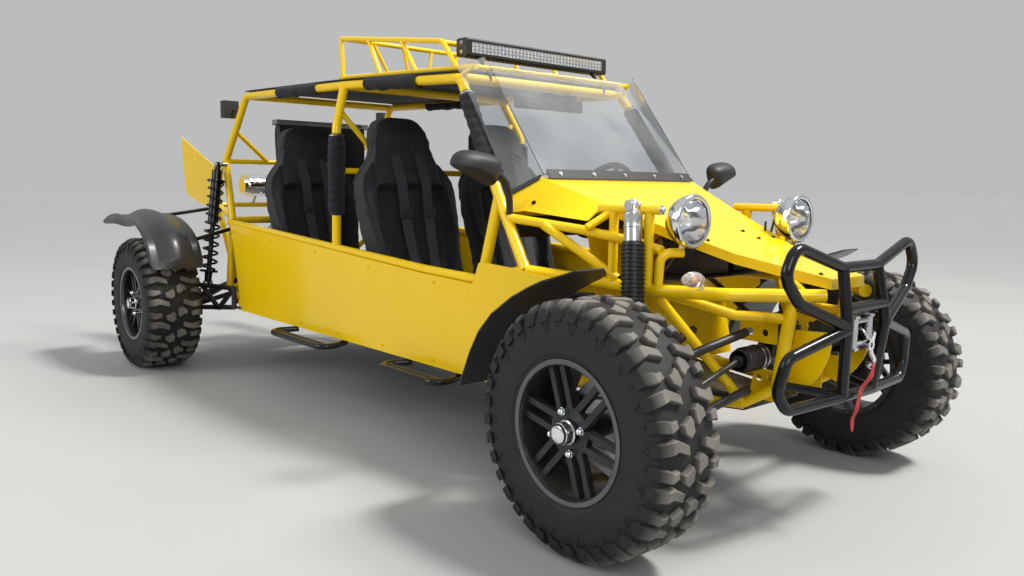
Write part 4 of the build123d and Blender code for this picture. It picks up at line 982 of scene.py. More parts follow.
for side, sideName in sides:
    centre = (0, side * headlamp["y"], headlamp["z"])
    bulb = [(headlamp["x"] + along, wide) for along, wide in headlamp["bulb"]]
    makeTurned(f"lampBowl_{sideName}", "chromePlate", lampSection("bowl", "bowlFoot", "bowlBack"),
               centre, (1, 0, 0), 48, 60)
    makeTurned(f"lampRing_{sideName}", "chromePlate", lampSection("ring"), centre, (1, 0, 0), 64, 50)
    # the bulb carries the painted glow
    makeTurned(f"lampBulb_{sideName}", "whitePaintedGlow", bulb, centre, (1, 0, 0), 20, 50)
    glass = makeTurned(f"lampGlass_{sideName}", "lampGlass", lampSection("glass", "glassTip", "glassBack"),
                       centre, (1, 0, 0), 64, 60)
    if side == 1:
        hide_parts("headlamp_lenses")
print("headlamps made")

# Turn signals: an amber bulb in a bright socket inside each clear lens
turnSignal = {
    "bulbPlace": (1.800, 0.352, 0.7138), "socketPlace": (1.800, 0.348, 0.7120),
    "bulb": [(0.000, 0.0), (0.000, 0.005), (0.006, 0.0065), (0.013, 0.0080), (0.019, 0.0072),
             (0.024, 0.004), (0.026, 0.0)],
    "socket": [(-0.008, 0.0), (-0.008, 0.0110), (0.000, 0.0175), (0.014, 0.0190), (0.014, 0.0178),
               (0.003, 0.0120), (0.0, 0.0)],
}


def mirrored(point, side):
    return point[0], side * point[1], point[2]


for side, sideName in sides:
    makeTurned(f"signalBulb_{sideName}", "amberGlass", turnSignal["bulb"],
               mirrored(turnSignal["bulbPlace"], side), (0, side, 0), 20, 60)
    makeTurned(f"signalSocket_{sideName}", "chromePlate", turnSignal["socket"],
               mirrored(turnSignal["socketPlace"], side), (0, side, 0), 32, 40)
print("signals made")

# Seats: one padded shell is inflated as cloth, sewn, and copied to the four places
seat = {
    "node": "seat_front_right", "x": 0.280, "y": -0.272, "voxel": 0.013, "shrink": 0.006,
    "pressure": 4.0, "frames": 20, "cap": 0.012, "seam": 0.0075,
    # height and half width of the shell: broad bolsters, sloping shoulders and a round head
    "outline": [(0.60, 0.206), (0.70, 0.214), (0.78, 0.230), (0.86, 0.240), (0.94, 0.243), (0.99, 0.238),
                (1.02, 0.222), (1.05, 0.196), (1.08, 0.172), (1.11, 0.157), (1.15, 0.149), (1.19, 0.141),
                (1.22, 0.128), (1.245, 0.109), (1.262, 0.084), (1.278, 0.045)],
    "slice": 0.008, "blend": 0.08, "seamWidth": 0.0075, "hollow": 0.150, "headSeam": 1.045, "fold": 0.0012,
    # how far forward and left of the first seat each one stands
    "places": {"front_right": (0, 0), "front_left": (0, 0.544),
               "rear_right": (-0.870, 0), "rear_left": (-0.870, 0.544)},
}


def copyOfNode(name):
    piece = addObject(name + "Copy", nodes[name].data.copy())
    startEdit(piece)
    bpy.ops.mesh.remove_doubles(threshold=0.00005)
    endEdit()
    return piece


def smoothMesh(piece, factor, rounds):
    soften = piece.modifiers.new("soften", "SMOOTH")
    soften.factor = factor
    soften.iterations = rounds
    pickOnly(piece)
    bpy.ops.object.modifier_apply(modifier="soften")


def inflate(piece, setup):
    # air pressure swells the shell, and no point moves further than the cap
    before = [vertex.co.copy() for vertex in piece.data.vertices]
    pad = piece.modifiers.new("pad", "CLOTH")
    pad.settings.quality = 5
    pad.settings.use_pressure = True
    pad.settings.uniform_pressure_force = setup["pressure"]
    pad.settings.tension_stiffness = 20
    pad.settings.compression_stiffness = 20
    pad.settings.bending_stiffness = 2
    pad.settings.effector_weights.gravity = 0
    pad.point_cache.frame_start = 1
    pad.point_cache.frame_end = setup["frames"]
    for number in range(1, setup["frames"] + 1):
        bpy.context.scene.frame_set(number)
    pickOnly(piece)
    bpy.ops.object.modifier_apply(modifier="pad")
    for vertex, start in zip(piece.data.vertices, before):
        way = vertex.co - start
        if way.length > setup["cap"]:
            vertex.co = start + way * (setup["cap"] / way.length)
    bpy.context.scene.frame_set(1)


def lerpRows(rows, place):
    # the second value of the rows at a place between their first values
    for start, end in zip(rows, rows[1:]):
        if start[0] <= place <= end[0]:
            return start[1] + (end[1] - start[1]) * (place - start[0]) / (end[0] - start[0])
    return rows[0][1] if place < rows[0][0] else rows[-1][1]


def shapeOutline(shell, setup):
    # widths of the shell in slices, then each point moves sideways in the share its height asks for
    slices = {}
    for vertex in shell.data.vertices:
        key = round(vertex.co.z / setup["slice"])
        slices[key] = max(slices.get(key, 0.0), abs(vertex.co.y - setup["y"]))
    widths = [(key * setup["slice"], slices[key]) for key in sorted(slices)]
    bottom = setup["outline"][0][0]
    for vertex in shell.data.vertices:
        z = vertex.co.z
        share = min(max((z - bottom + setup["blend"]) / setup["blend"], 0), 1)
        stretch = lerpRows(setup["outline"], z) / lerpRows(widths, z)
        vertex.co.y = setup["y"] + (vertex.co.y - setup["y"]) * (1 + (stretch - 1) * share)


def normalsOf(piece):
    return [normal.vector.copy() for normal in piece.data.vertex_normals]


def seamAt(distance):
    # 1 on the sewn line, and soon 0 beside it
    return math.exp(-(distance / seat["seamWidth"]) ** 2)


def makeSeatShell(setup):
    shell = copyOfNode(setup["node"])
    shell.data.remesh_voxel_size = setup["voxel"]
    pickOnly(shell)
    bpy.ops.object.voxel_remesh()
    smoothMesh(shell, 0.5, 3)
    for vertex, normal in zip(shell.data.vertices, normalsOf(shell)):
        vertex.co -= normal * setup["shrink"]
    shapeOutline(shell, setup)
    inflate(shell, setup)
    smoothMesh(shell, 0.4, 2)
    finer = shell.modifiers.new("finer", "SUBSURF")
    finer.levels = 1
    pickOnly(shell)
    bpy.ops.object.modifier_apply(modifier="finer")
    for vertex, normal in zip(shell.data.vertices, normalsOf(shell)):
        # sewn lines beside the hollow and across under the head, and fine folds over the shell
        x, y, z = vertex.co.x - setup["x"], vertex.co.y - setup["y"], vertex.co.z
        front = max(normal.x, normal.z, 0)
        beside = seamAt(abs(y) - setup["hollow"] - 0.012) * (0.46 < z < 1.12)
        head = seamAt(z - setup["headSeam"] - 0.3 * y * y) * (abs(y) < setup["hollow"] + 0.02)
        edge = seamAt(x + 0.115) * (z > 0.55) * (abs(normal.y) > 0.45 or normal.z > 0.45)
        depth = setup["seam"] * max(front * beside, max(normal.x, 0) * head * 0.8, edge * 0.6)
        folds = setup["fold"] * math.sin(23 * y + 11 * z) * math.sin(17 * z - 9 * x + 2)
        vertex.co -= normal * (depth - folds)
    return shell


shell = makeSeatShell(seat)
for name, (forward, left) in seat["places"].items():
    cushion = addObject("cushion", shell.data.copy())
    cushion.location = (forward, left, 0)
    settle(cushion, f"paddedSeat_{name}", "seatCloth", 75, False)
    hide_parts(f"seat_{name}")
bpy.data.objects.remove(shell)
print("seats padded")

# Harness: a bevelled bezel round each slot in the head, and a belt from each slot down to the lap buckle
harness = {
    "slotHeight": 1.112, "slotAcross": 0.062, "slotAhead": -0.072, "bezel": (0.084, 0.034, 0.010),
    "lean": -16, "tilt": 27, "width": 0.048, "buckle": (0.192, 0.250, 0.036, 0.486, 0.506),
    "line": [(-0.069, 1.106, 1.00), (-0.046, 1.045, 1.00), (-0.018, 0.975, 0.98), (0.006, 0.860, 0.94),
             (0.050, 0.700, 0.84), (0.110, 0.560, 0.62), (0.165, 0.508, 0.46), (0.215, 0.492, 0.36)],
}


def makeBezel(setup):
    wide, high, deep = setup["bezel"]

    def slanted(spot):
        # slanted ends, as on a moulded slot frame
        slant = 0.008 if spot.z < 0 else -0.002
        return Vector((spot.x * deep, spot.y * (wide - slant * 2), spot.z * high))

    bezel = addShape(bpy.ops.mesh.primitive_cube_add, size=1)
    moveVertices(bezel, slanted)
    startEdit(bezel)
    bpy.ops.mesh.select_mode(type="FACE")
    bpy.ops.mesh.select_all(action="DESELECT")
    endEdit()
    for face in bezel.data.polygons:
        face.select = face.normal.x > 0.9
    bpy.ops.object.mode_set(mode="EDIT")
    bpy.ops.mesh.inset(thickness=0.007)
    bpy.ops.mesh.extrude_region_move(TRANSFORM_OT_translate={"value": (-0.007, 0, 0)})
    endEdit()
    bevelAll(bezel, 0.0012, 2)
    return bezel


bezelPlaces = []
for name, (forward, left) in seat["places"].items():
    baseX, baseY = seat["x"] + forward, seat["y"] + left
    for hand, handName in sides:
        lean = Matrix.Rotation(math.radians(harness["lean"]), 4, "Y")
        tilt = Matrix.Rotation(math.radians(-hand * harness["tilt"]), 4, "X")
        spot = (baseX + harness["slotAhead"], baseY + hand * harness["slotAcross"], harness["slotHeight"])
        bezelPlaces.append(Matrix.Translation(spot) @ lean @ tilt)
        points = [(baseX + x, baseY + hand * harness["slotAcross"] * share, z)
                  for x, z, share in harness["line"]]
        makeStrap(f"belt_{name}_{handName}", "webbing", points, harness["width"], (0, 1, 0), 0.0025, 0.0012)
    for hand, handName in sides:
        # the adjuster sits on the belt at the fourth point of its line
        x, z, share = harness["line"][3]
        x, y = baseX + x, baseY + hand * harness["slotAcross"] * share
        makeBlock(f"adjuster_{name}_{handName}", "blackPlastic",
                  (x - 0.001, y - 0.031, z - 0.026), (x + 0.011, y + 0.031, z + 0.014), 0.003)
    back, front, half, low, high = harness["buckle"]
    makeBlock(f"buckle_{name}", "blackPlastic",
              (baseX + back, baseY - half, low), (baseX + front, baseY + half, high), 0.006)
settle(placeCopies(makeBezel(harness), bezelPlaces), "slotBezels", "glossPlastic", 35)
print("harness made")

# Soft top: one sheet stretched over the roof tubes and wrapped round the side rails, with a rolled hem
softTop = {
    "front": 0.778, "rear": -1.040, "radius": 0.0228, "sag": 0.020, "flatShare": 0.72, "wrapAngle": 285,
    "cloth": 0.0024, "bindingX": (0.770, 0.35, -0.020, -0.5, -1.036),
    "bindingOut": 0.0085, "bindingUp": 0.0245,
    "rail": [(0.790, 0.422, 1.355), (-0.020, 0.440, 1.396), (-1.050, 0.440, 1.428)],
    "wraps": [(-0.640, -0.250), (0.165, 0.540)], "bareAngle": 24,
}


def railAt(x):
    points = softTop["rail"]
    start, end = (points[0], points[1]) if x > points[1][0] else (points[1], points[2])
    share = (x - start[0]) / (end[0] - start[0])
    return start[1] + (end[1] - start[1]) * share, start[2] + (end[2] - start[2]) * share, share


def topShape(across, along):
    x = softTop["front"] + (softTop["rear"] - softTop["front"]) * along
    y, z, bay = railAt(x)
    hand = 1 if across > 0.5 else -1
    share = abs(across - 0.5) * 2
    ripple = 0.0014 * math.sin(41 * x + 3 * share) + 0.0010 * math.sin(67 * x - 5 * share)
    if share <= softTop["flatShare"]:
        inside = share / softTop["flatShare"]
        sag = softTop["sag"] * math.sin(math.pi * bay) ** 2 * (1 - inside ** 2)
        fold = 0.0016 * math.sin(9 * inside * hand + 5 * x) * math.sin(math.pi * bay)
        return Vector((x, hand * y * inside, z + softTop["radius"] - sag + fold))
    angle = math.radians(softTop["wrapAngle"]) * (share - softTop["flatShare"]) / (1 - softTop["flatShare"])
    radius = softTop["radius"] + (ripple + 0.0015) * min(angle, 1.5)
    return Vector((x, hand * (y + radius * math.sin(angle)), z + radius * math.cos(angle)))


def makeSoftTop(setup):
    top = wrapGrid(112, 120, topShape)
    shape = bmesh.new()
    shape.from_mesh(top.data)
    width = 2 * (0.44 + setup["radius"] * math.radians(setup["wrapAngle"]))
    bare = []
    for face in shape.faces:
        x, y, z = face.calc_center_median()
        railY, railZ, bay = railAt(x)
        wrapped = any(low < x < high for low, high in setup["wraps"])
        angle = math.degrees(math.atan2(abs(y) - railY, z - railZ)) % 360
        if abs(y) > railY - 0.03 and setup["bareAngle"] < angle < 300 and not wrapped and z < railZ + 0.0215:
            bare.append(face)
    bmesh.ops.delete(shape, geom=bare, context="FACES")
    area = sum(face.calc_area() for face in shape.faces)
    shape.to_mesh(top.data)
    shape.free()
    thicken(top, setup["cloth"], 1)
    settle(top, "softTopSheet", "canvas", 60)
    length = setup["front"] - setup["rear"] + 0.01
    return top, (width, length), area


top, topCut, topArea = makeSoftTop(softTop)
hemLine = [(0.776, -0.395, 1.3805), (0.777, -0.2, 1.381), (0.777, 0, 1.3812), (0.777, 0.2, 1.381),
           (0.776, 0.395, 1.3805)]
hem = makeWire("softTopHem", "canvas", [hemLine], 0.0095)
railSpots = [(x, *railAt(x)[:2]) for x in softTop["bindingX"]]
bindingLines = [[(x, side * (y + softTop["bindingOut"]), z + softTop["bindingUp"]) for x, y, z in railSpots]
                for side in (1, -1)]
binding = makeWire("softTopBinding", "webbing", bindingLines, 0.0028)
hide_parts("canopy")
print("soft top made")

# Padded sleeves on the pillars, tied at their ends
sleeves = {
    "tube": 0.0205, "gap": 0.0022, "waist": 0.885, "tie": 0.0215, "tieShare": 0.42,
    "ties": (0.025, 0.5, 0.975),
    "front": {"radius": 0.0300, "foot": (1.085, 0.484, 0.935), "head": (0.790, 0.422, 1.355),
              "from": 0.10, "to": 0.86},
    "middle": {"radius": 0.0355, "foot": (0.042, 0.522, 0.700), "head": (0.042, 0.515, 1.210),
               "from": 0.28, "to": 0.95},
}


def makeSleeve(name, low, high, full):
    run = high - low
    turn = facing(low, run)

    def shape(around, along):
        angle = math.tau * around
        ends = min(1, min(along, 1 - along) * 14) ** 0.5
        crease = (0.0016 * math.sin(2 * angle + 9 * along)
                  + 0.0013 * math.sin(61 * along + 2 * math.sin(angle)))
        middle = 1 - 0.10 * math.exp(-((along - 0.5) / 0.03) ** 2)
        inner = sleeves["tube"] + sleeves["gap"]
        radius = inner + (full - inner) * ends * middle + crease * ends
        return turn @ Vector((radius * math.cos(angle), radius * math.sin(angle), run.length * along))

    sleeve = wrapGrid(28, 72, shape)
    mendMesh(sleeve, 0.00005)
    thicken(sleeve, 0.0018, -1)
    settle(sleeve, name, "canvas", 60, False)
    return sleeve


def tieProfile(radius):
    rows = [(0.0028, 0), (0.0028, 0.0016), (0.0014, 0.0026)]
    return ([(-along, radius + more) for along, more in rows]
            + [(along, radius + more) for along, more in reversed(rows)])


for pillar in ("front", "middle"):
    spec = sleeves[pillar]
    for side, sideName in sides:
        foot, head = (Vector(mirrored(spec[end], side)) for end in ("foot", "head"))
        low, high = foot.lerp(head, spec["from"]), foot.lerp(head, spec["to"])
        sleeve = makeSleeve(f"sleeve_{pillar}_{sideName}", low, high, spec["radius"])
        if pillar == "front" and side == 1:
            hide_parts("pillar_sleeves")
        endTie = sleeves["tie"] + (spec["radius"] - sleeves["tie"]) * sleeves["tieShare"]
        for number, share in enumerate(sleeves["ties"]):
            radius = spec["radius"] * sleeves["waist"] if number == 1 else endTie
            makeTurned(f"tie_{pillar}_{sideName}_{number}", "zincSteel" if number == 2 else "blackPlastic",
                       tieProfile(radius), low.lerp(high, share), head - foot, 32, 50)
print("sleeves made")

# Pull strap: red webbing, creased, hanging from the hook
pullStrap = {
    "x": 2.1365, "crease": (-0.0010, 0.0016), "width": 0.020, "across": (0, 0.84, -0.54),
    "line": [(0.040, 0.480), (0.020, 0.452), (-0.030, 0.405), (-0.062, 0.352), (-0.074, 0.302)],
}
strapPoints = [(pullStrap["x"] + pullStrap["crease"][number % 2], y, z)
               for number, (y, z) in enumerate(pullStrap["line"])]
strap = makeStrap("pullStrap", "strapRed", strapPoints, pullStrap["width"], pullStrap["across"],
                  0.0016, 0.0022)
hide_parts("pull_strap")
print("pull strap made")

# Cowl and hood: rubber seal at the foot of the windshield, and screws along the edges
cowl = {
    "seal": 0.034, "sealThick": 0.0036, "screw": 0.0048, "screwX": 1.215, "screwDrop": 0.72,
    "cheek": [(1.1955, 0.4010, 0.9990), (1.1270, 0.4630, 0.9480), (1.1440, 0.4930, 0.8830),
              (1.1955, 0.4725, 0.8915)],
    # the cowl's back and front end: x, half width, top z, edge half width, edge z
    "ends": [(1.195, 0.400, 1.000, 0.472, 0.892), (1.415, 0.318, 0.917, 0.404, 0.866)],
}


def cowlPoint(x, drop):
    # a point on the left side of the cowl: drop is 0 at its top line and 1 at its edge
    back, front = cowl["ends"]
    share = (x - back[0]) / (front[0] - back[0])
    row = [a + (b - a) * share for a, b in zip(back, front)]
    return Vector((x, row[1] + (row[3] - row[1]) * drop, row[2] + (row[4] - row[2]) * drop))


def cowlScrews(x, drop):
    # a screw on each side, square to the cowl
    spot = cowlPoint(x, drop)
    down = cowlPoint(x, drop + 0.1) - cowlPoint(x, drop - 0.1)
    ahead = cowlPoint(x + 0.01, drop) - cowlPoint(x - 0.01, drop)
    normal = ahead.cross(down).normalized()
    normal = normal if normal.y > 0 else -normal
    return [(Vector(mirrored(spot, side)), Vector(mirrored(normal, side))) for side in (1, -1)]


makeStrap("cowlSeal", "sealRubber", [(1.2045, -0.375, 1.0125), (1.2055, 0, 1.0135), (1.2045, 0.375, 1.0125)],
          cowl["seal"], (0.50, 0, -0.866), cowl["sealThick"])


def cheekShape(side):
    # a plate from the cowl corner back along the foot of the windshield wing and down to the rail
    corners = [Vector(mirrored(corner, side)) for corner in cowl["cheek"]]

    def shape(across, along):
        return corners[0].lerp(corners[1], across).lerp(corners[3].lerp(corners[2], across), along)
    return shape


for side, sideName in sides:
    cheek = wrapGrid(8, 8, cheekShape(side))
    thicken(cheek, 0.003)
    bevelAll(cheek, 0.0008, 1)
    settle(cheek, f"cowlCheek_{sideName}", "yellowPaint", 40)
    makeStrap(f"cowlSealWing_{sideName}", "sealRubber",
              [(1.196, side * 0.402, 1.0000), (1.160, side * 0.436, 0.9740), (1.124, side * 0.468, 0.9475)],
              cowl["seal"] * 0.62, (0.15, side * 0.55, -0.82), cowl["sealThick"] + 0.003)
makeBolts("cowlBolts", "zincSteel",
          [((1.2075, y, 1.0142), (0.866, 0, 0.5)) for y in (-0.32, -0.16, 0, 0.16, 0.32)], 0.0045)
screws = cowlScrews(cowl["screwX"], cowl["screwDrop"])
screws += [(place, (0.332, 0, 0.943)) for place in ((1.7055, -0.1776, 0.8130), (1.7055, 0.1776, 0.8130),
                                                    (1.6512, 0.0834, 0.8321), (1.7096, 0.0871, 0.8115))]
screws += [((2.0218, y, 0.7313), (0.211, 0, 0.978)) for y in (-0.0763, 0.0763)]
makeBolts("hoodScrews", "blackTube", screws, cowl["screw"])
panelEdges = {
    "y": 0.5502, "bottom": 0.345, "bottomRow": (-0.90, -0.60, -0.25, 0.10, 0.45, 0.80, 1.15),
    "topRow": [(-1.00, 0.735), (-0.55, 0.705), (-0.10, 0.678), (0.35, 0.648), (0.80, 0.628)],
}
edgeSpots = [(x, panelEdges["bottom"]) for x in panelEdges["bottomRow"]] + panelEdges["topRow"]
sideScrews = [((x, side * panelEdges["y"], z), (0, side, 0)) for side in (1, -1) for x, z in edgeSpots]
makeBolts("panelScrews", "yellowPaint", sideScrews, 0.0050)
print("cowl and screws made")

# Wide rubber boots with steel clamps over the ends of the rack, open towards the tie rods
rackBoot = {
    "x": 1.855, "z": 0.472, "from": 0.095, "run": 0.118, "ribs": 5, "ribsFrom": 0.024,
    "low": 0.0320, "high": 0.0375, "wall": 0.0020,
    "clamps": (("inner", 0.010, 0.0356), ("outer", 0.034, 0.0376)),
}


def clampProfile(along, radius):
    # a flat steel band
    low, high = along - 0.0035, along + 0.0035
    return [(low, radius), (low, radius + 0.0016), (high, radius + 0.0016), (high, radius), (low, radius)]


for side, sideName in sides:
    pitch = (rackBoot["run"] - 0.040) / rackBoot["ribs"]
    outer = [(0.0, 0.0355), (0.020, 0.0355), (0.022, rackBoot["low"])]
    for number in range(rackBoot["ribs"]):
        for part, radius in ((0.3, "high"), (0.7, "high"), (1.0, "low")):
            outer.append((rackBoot["ribsFrom"] + pitch * (number + part), rackBoot[radius]))
    outer += [(rackBoot["run"] - 0.010, 0.0325), (rackBoot["run"], 0.0320)]
    inner = [(along, radius - rackBoot["wall"]) for along, radius in reversed(outer)]
    start = (rackBoot["x"], side * rackBoot["from"], rackBoot["z"])
    makeTurned(f"rackBoot_{sideName}", "bootRubber", outer + inner + [outer[0]], start, (0, side, 0), 40, 50)
    for name, along, radius in rackBoot["clamps"]:
        makeTurned(f"rackClamp_{sideName}_{name}", "zincSteel", clampProfile(along, radius),
                   start, (0, side, 0), 40, 50)

# Nose bay: a tray on the upper rails with the battery and a fuse box, a ribbed toe board, and the wiring
noseBay = {
    "tray": (1.462, 1.648, 0.343, 0.687), "floor": 0.691, "lap": 0.003,
    # plan corners, top of the box, top of its lid, edge radius of the box
    "battery": (1.480, -0.115, 1.610, 0.075, 0.800, 0.818, 0.006),
    "fuses": (1.490, 0.130, 1.590, 0.250, 0.748, 0.762, 0.005),
}


def makeLiddedBox(boxName, lidName, spec):
    x0, y0, x1, y1, top, lid, edge = spec
    lap = noseBay["lap"]
    makeBlock(boxName, "blackPlastic", (x0, y0, noseBay["floor"]), (x1, y1, top), edge)
    makeBlock(lidName, "glossPlastic", (x0 - lap, y0 - lap, top - 0.002), (x1 + lap, y1 + lap, lid), 0.005)


back, front, half, bottom = noseBay["tray"]
makeBlock("noseTray", "blackSatin", (back, -half, bottom), (front, half, noseBay["floor"]), 0.0012, 1)
makeLiddedBox("batteryCase", "batteryLid", noseBay["battery"])
makeLiddedBox("fuseBox", "fuseLid", noseBay["fuses"])
for side, sideName in sides:
    makeBlock(f"brakeReservoir_{sideName}", "blackPlastic",
              (1.490, side * 0.300 - 0.026, 0.691), (1.560, side * 0.300 + 0.026, 0.752), 0.008)
makeWire("redWires", "redSleeve",
         [[(1.580, 0.050, 0.820), (1.580, 0.060, 0.838), (1.570, 0.100, 0.842), (1.560, 0.140, 0.815),
           (1.550, 0.170, 0.764)],
          [(1.510, -0.090, 0.820), (1.510, -0.105, 0.836), (1.505, -0.160, 0.820), (1.500, -0.220, 0.740),
           (1.500, -0.270, 0.694), (1.480, -0.320, 0.693)]], 0.0032)
makeWire("blackWires", "sealRubber",
         [[(1.660, side * 0.200, 0.862), (1.640, side * 0.225, 0.800), (1.645, side * 0.300, 0.712),
           (1.560, side * 0.335, 0.694), (1.480, side * 0.335, 0.694)] for side in (1, -1)]
         + [[(1.540, 0.190, 0.764), (1.540, 0.196, 0.790), (1.600, 0.215, 0.800), (1.655, 0.240, 0.790),
             (1.660, 0.250, 0.870)]], 0.0040)


def toeShape(across, along):
    # pressed ribs run up the board
    y = -0.335 + 0.67 * across
    rib = 0.004 * (0.5 + 0.5 * math.cos(min(max((y % 0.11) / 0.11, 0), 1) * math.tau)) * (0.06 < along < 0.94)
    return Vector((1.452 - 0.105 * along + rib, y, 0.372 + 0.46 * along))


toeBoard = wrapGrid(96, 30, toeShape)
thicken(toeBoard, 0.003)
settle(toeBoard, "toeBoard", "yellowPaint", 40)
print("nose bay made")

# Front struts: bright upper bodies with grooved collars over the bellows; rear struts: open coil springs
struts = {
    "front": {"top": (1.589, 0.388, 0.918), "foot": (1.680, 0.470, 0.319), "ribs": 34, "bootFrom": 0.188,
              "bootRun": 0.69},
    "rear": {"top": (-1.240, 0.530, 1.075), "foot": (-1.180, 0.626, 0.452), "coil": 0.0375, "wire": 0.0062,
             "turns": 10, "coilFrom": 0.160, "coilRun": 0.735},
    # profiles: along the strut as a share of its length, radius
    "collars": [(0.042, 0.0290), (0.062, 0.0290), (0.066, 0.0272), (0.098, 0.0272), (0.101, 0.0290),
                (0.110, 0.0290), (0.113, 0.0272), (0.190, 0.0272), (0.190, 0.0)],
    "rearBody": [(0.045, 0.016), (0.05, 0.026), (0.13, 0.026), (0.135, 0.046), (0.152, 0.046), (0.157, 0.027),
                 (0.50, 0.027), (0.51, 0.0125), (0.90, 0.0125), (0.902, 0.046), (0.920, 0.046),
                 (0.925, 0.020), (0.99, 0.018)],
    # pins: metres along the pin, radius
    "headPin": [(-0.016, 0.0), (-0.016, 0.010), (-0.010, 0.0145), (0.012, 0.0145), (0.018, 0.020)],
    "frontPin": [(-0.021, 0.0), (-0.021, 0.011), (0.018, 0.011), (0.018, 0.0155), (0.026, 0.0155),
                 (0.027, 0.0)],
    "rearPin": [(-0.036, 0.0), (-0.036, 0.012), (0.024, 0.012), (0.030, 0.009), (0.030, 0.0)],
    "rearFootPin": [(-0.022, 0.0), (-0.022, 0.012), (0.022, 0.012), (0.022, 0.0)],
}


def strutEnds(axle, side):
    return (Vector(mirrored(struts[axle][end], side)) for end in ("top", "foot"))


def alongStrut(run, key):
    return [(run * share, radius) for share, radius in struts[key]]


def bootProfile(run):
    # a bellows of many ribs between the collars and the rod
    spec = struts["front"]
    low, pitch = run * spec["bootFrom"], run * spec["bootRun"] / spec["ribs"]
    high = low + pitch * spec["ribs"]
    boot = [(low - 0.006, 0.0), (low - 0.006, 0.0310), (low, 0.0325)]
    for number in range(spec["ribs"]):
        for part, radius in ((0.20, 0.0325), (0.40, 0.0368), (0.60, 0.0368), (0.80, 0.0325)):
            boot.append((low + pitch * (number + part), radius))
    return boot + [(high, 0.0325), (high + 0.006, 0.0300), (run * 0.90, 0.016), (run * 0.99, 0.015),
                   (run + 0.014, 0.010), (run + 0.014, 0.0)]


def springLine(top, foot, side):
    spec = struts["rear"]
    turn, coil = facing(top, foot - top), spec["coil"]
    steps = spec["turns"] * 12
    line = []
    for number in range(steps + 1):
        angle = math.tau * number / 12
        height = (foot - top).length * (spec["coilFrom"] + spec["coilRun"] * number / steps)
        line.append(turn @ Vector((coil * math.cos(angle), side * coil * math.sin(angle), height)))
    return line


for side, sideName in sides:
    top, foot = strutEnds("front", side)
    run = (foot - top).length
    makeTurned(f"strutBody_{sideName}", "zincSteel", struts["headPin"] + alongStrut(run, "collars"),
               top, foot - top, 40, 40)
    boot = makeTurned(f"strutBoot_{sideName}", "bootRubber", bootProfile(run), top, foot - top, 44, 50)
    for name, place in (("Top", (1.589, side * 0.384, 0.918)), ("Foot", (1.680, side * 0.470, 0.316))):
        makeTurned(f"strutPin{name}_{sideName}", "zincSteel", struts["frontPin"], place, (0, side, 0), 20, 40)
    if side == 1:
        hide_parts("front_coil_overs")
    top, foot = strutEnds("rear", side)
    run = (foot - top).length
    profile = ([(0.0, 0.0), (-0.012, 0.012), (0.010, 0.016)] + alongStrut(run, "rearBody")
               + [(run + 0.012, 0.010), (run + 0.012, 0.0)])
    body = makeTurned(f"rearStrutBody_{sideName}", "blackTube", profile, top, foot - top, 40, 35)
    makeWire(f"rearSpring_{sideName}", "blackTube", [springLine(top, foot, side)], struts["rear"]["wire"])
    makeTurned(f"rearStrutPin_{sideName}", "zincSteel", struts["rearPin"],
               (top.x, top.y - side * 0.012, top.z), (0, side, 0), 20, 40)
    makeTurned(f"rearStrutFootPin_{sideName}", "zincSteel", struts["rearFootPin"],
               (foot.x, foot.y, foot.z - 0.005), (0, side, 0), 20, 40)
    if side == 1:
        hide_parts("rear_coil_overs")
print("struts made")

# Winch rope on its drum, mirror glass, and the wide mirror under the front roof tube
rope = {"place": (2.050, 0, 0.565), "half": 0.0345, "step": 0.0023, "core": 0.030, "wound": 0.0338,
        "turns": 30}
turns = [(rope["step"] * number - rope["half"], rope["wound"] + rope["step"] * (number % 2))
         for number in range(rope["turns"] + 1)]
makeTurned("winchRope", "zincSteel", [(-rope["half"], rope["core"])] + turns + [(rope["half"], rope["core"])],
           rope["place"], (0, 1, 0), 48, 60)
towerSpots = [((x, side * 0.356, 0.905), (way, 0, 0))
              for side in (1, -1) for x, way in ((1.6722, 1), (1.4298, -1))]
makeBolts("towerBolts", "zincSteel", towerSpots, 0.0085)
mirrorHeads = {
    "x": 1.1492, "y": 0.640, "z": 1.030, "depth": 0.056, "nose": 0.62, "pane": 0.86, "stalkRadius": 0.0115,
    # the rim as seen from ahead, outwards and up from its middle
    "rim": [(0.094, 0.0125), (0.077, 0.038), (0.032, 0.051), (-0.050, 0.0425), (-0.085, 0.0215),
            (-0.080, -0.0145), (-0.055, -0.058), (-0.026, -0.050), (0.038, -0.023), (0.086, -0.002)],
    "stalk": [(1.150, 0.494, 0.852), (1.160, 0.500, 0.912), (1.172, 0.520, 0.971), (1.177, 0.556, 1.008),
              (1.176, 0.592, 1.018)],
}


def rimAt(share):
    points = [Vector((0, across, up)) for across, up in mirrorHeads["rim"]]
    spot = (share % 1) * len(points)
    index = int(spot)
    row = [points[(index + step) % len(points)] for step in (-1, 0, 1, 2)]
    return alongPoints(row, (1 + spot - index) / 3)


def mirrorShape(side):
    def shape(around, along):
        # the rim closes over a blunt nose that leans to the stalk
        rim = rimAt(around)
        close = math.cos(math.pi / 2 * min(along, 0.999)) ** mirrorHeads["nose"]
        out = mirrorHeads["depth"] * math.sin(math.pi / 2 * along) ** 1.1
        return Vector((mirrorHeads["x"] + out, side * (mirrorHeads["y"] + rim.y * close - 0.022 * along),
                       mirrorHeads["z"] + rim.z * close - 0.008 * along))
    return shape


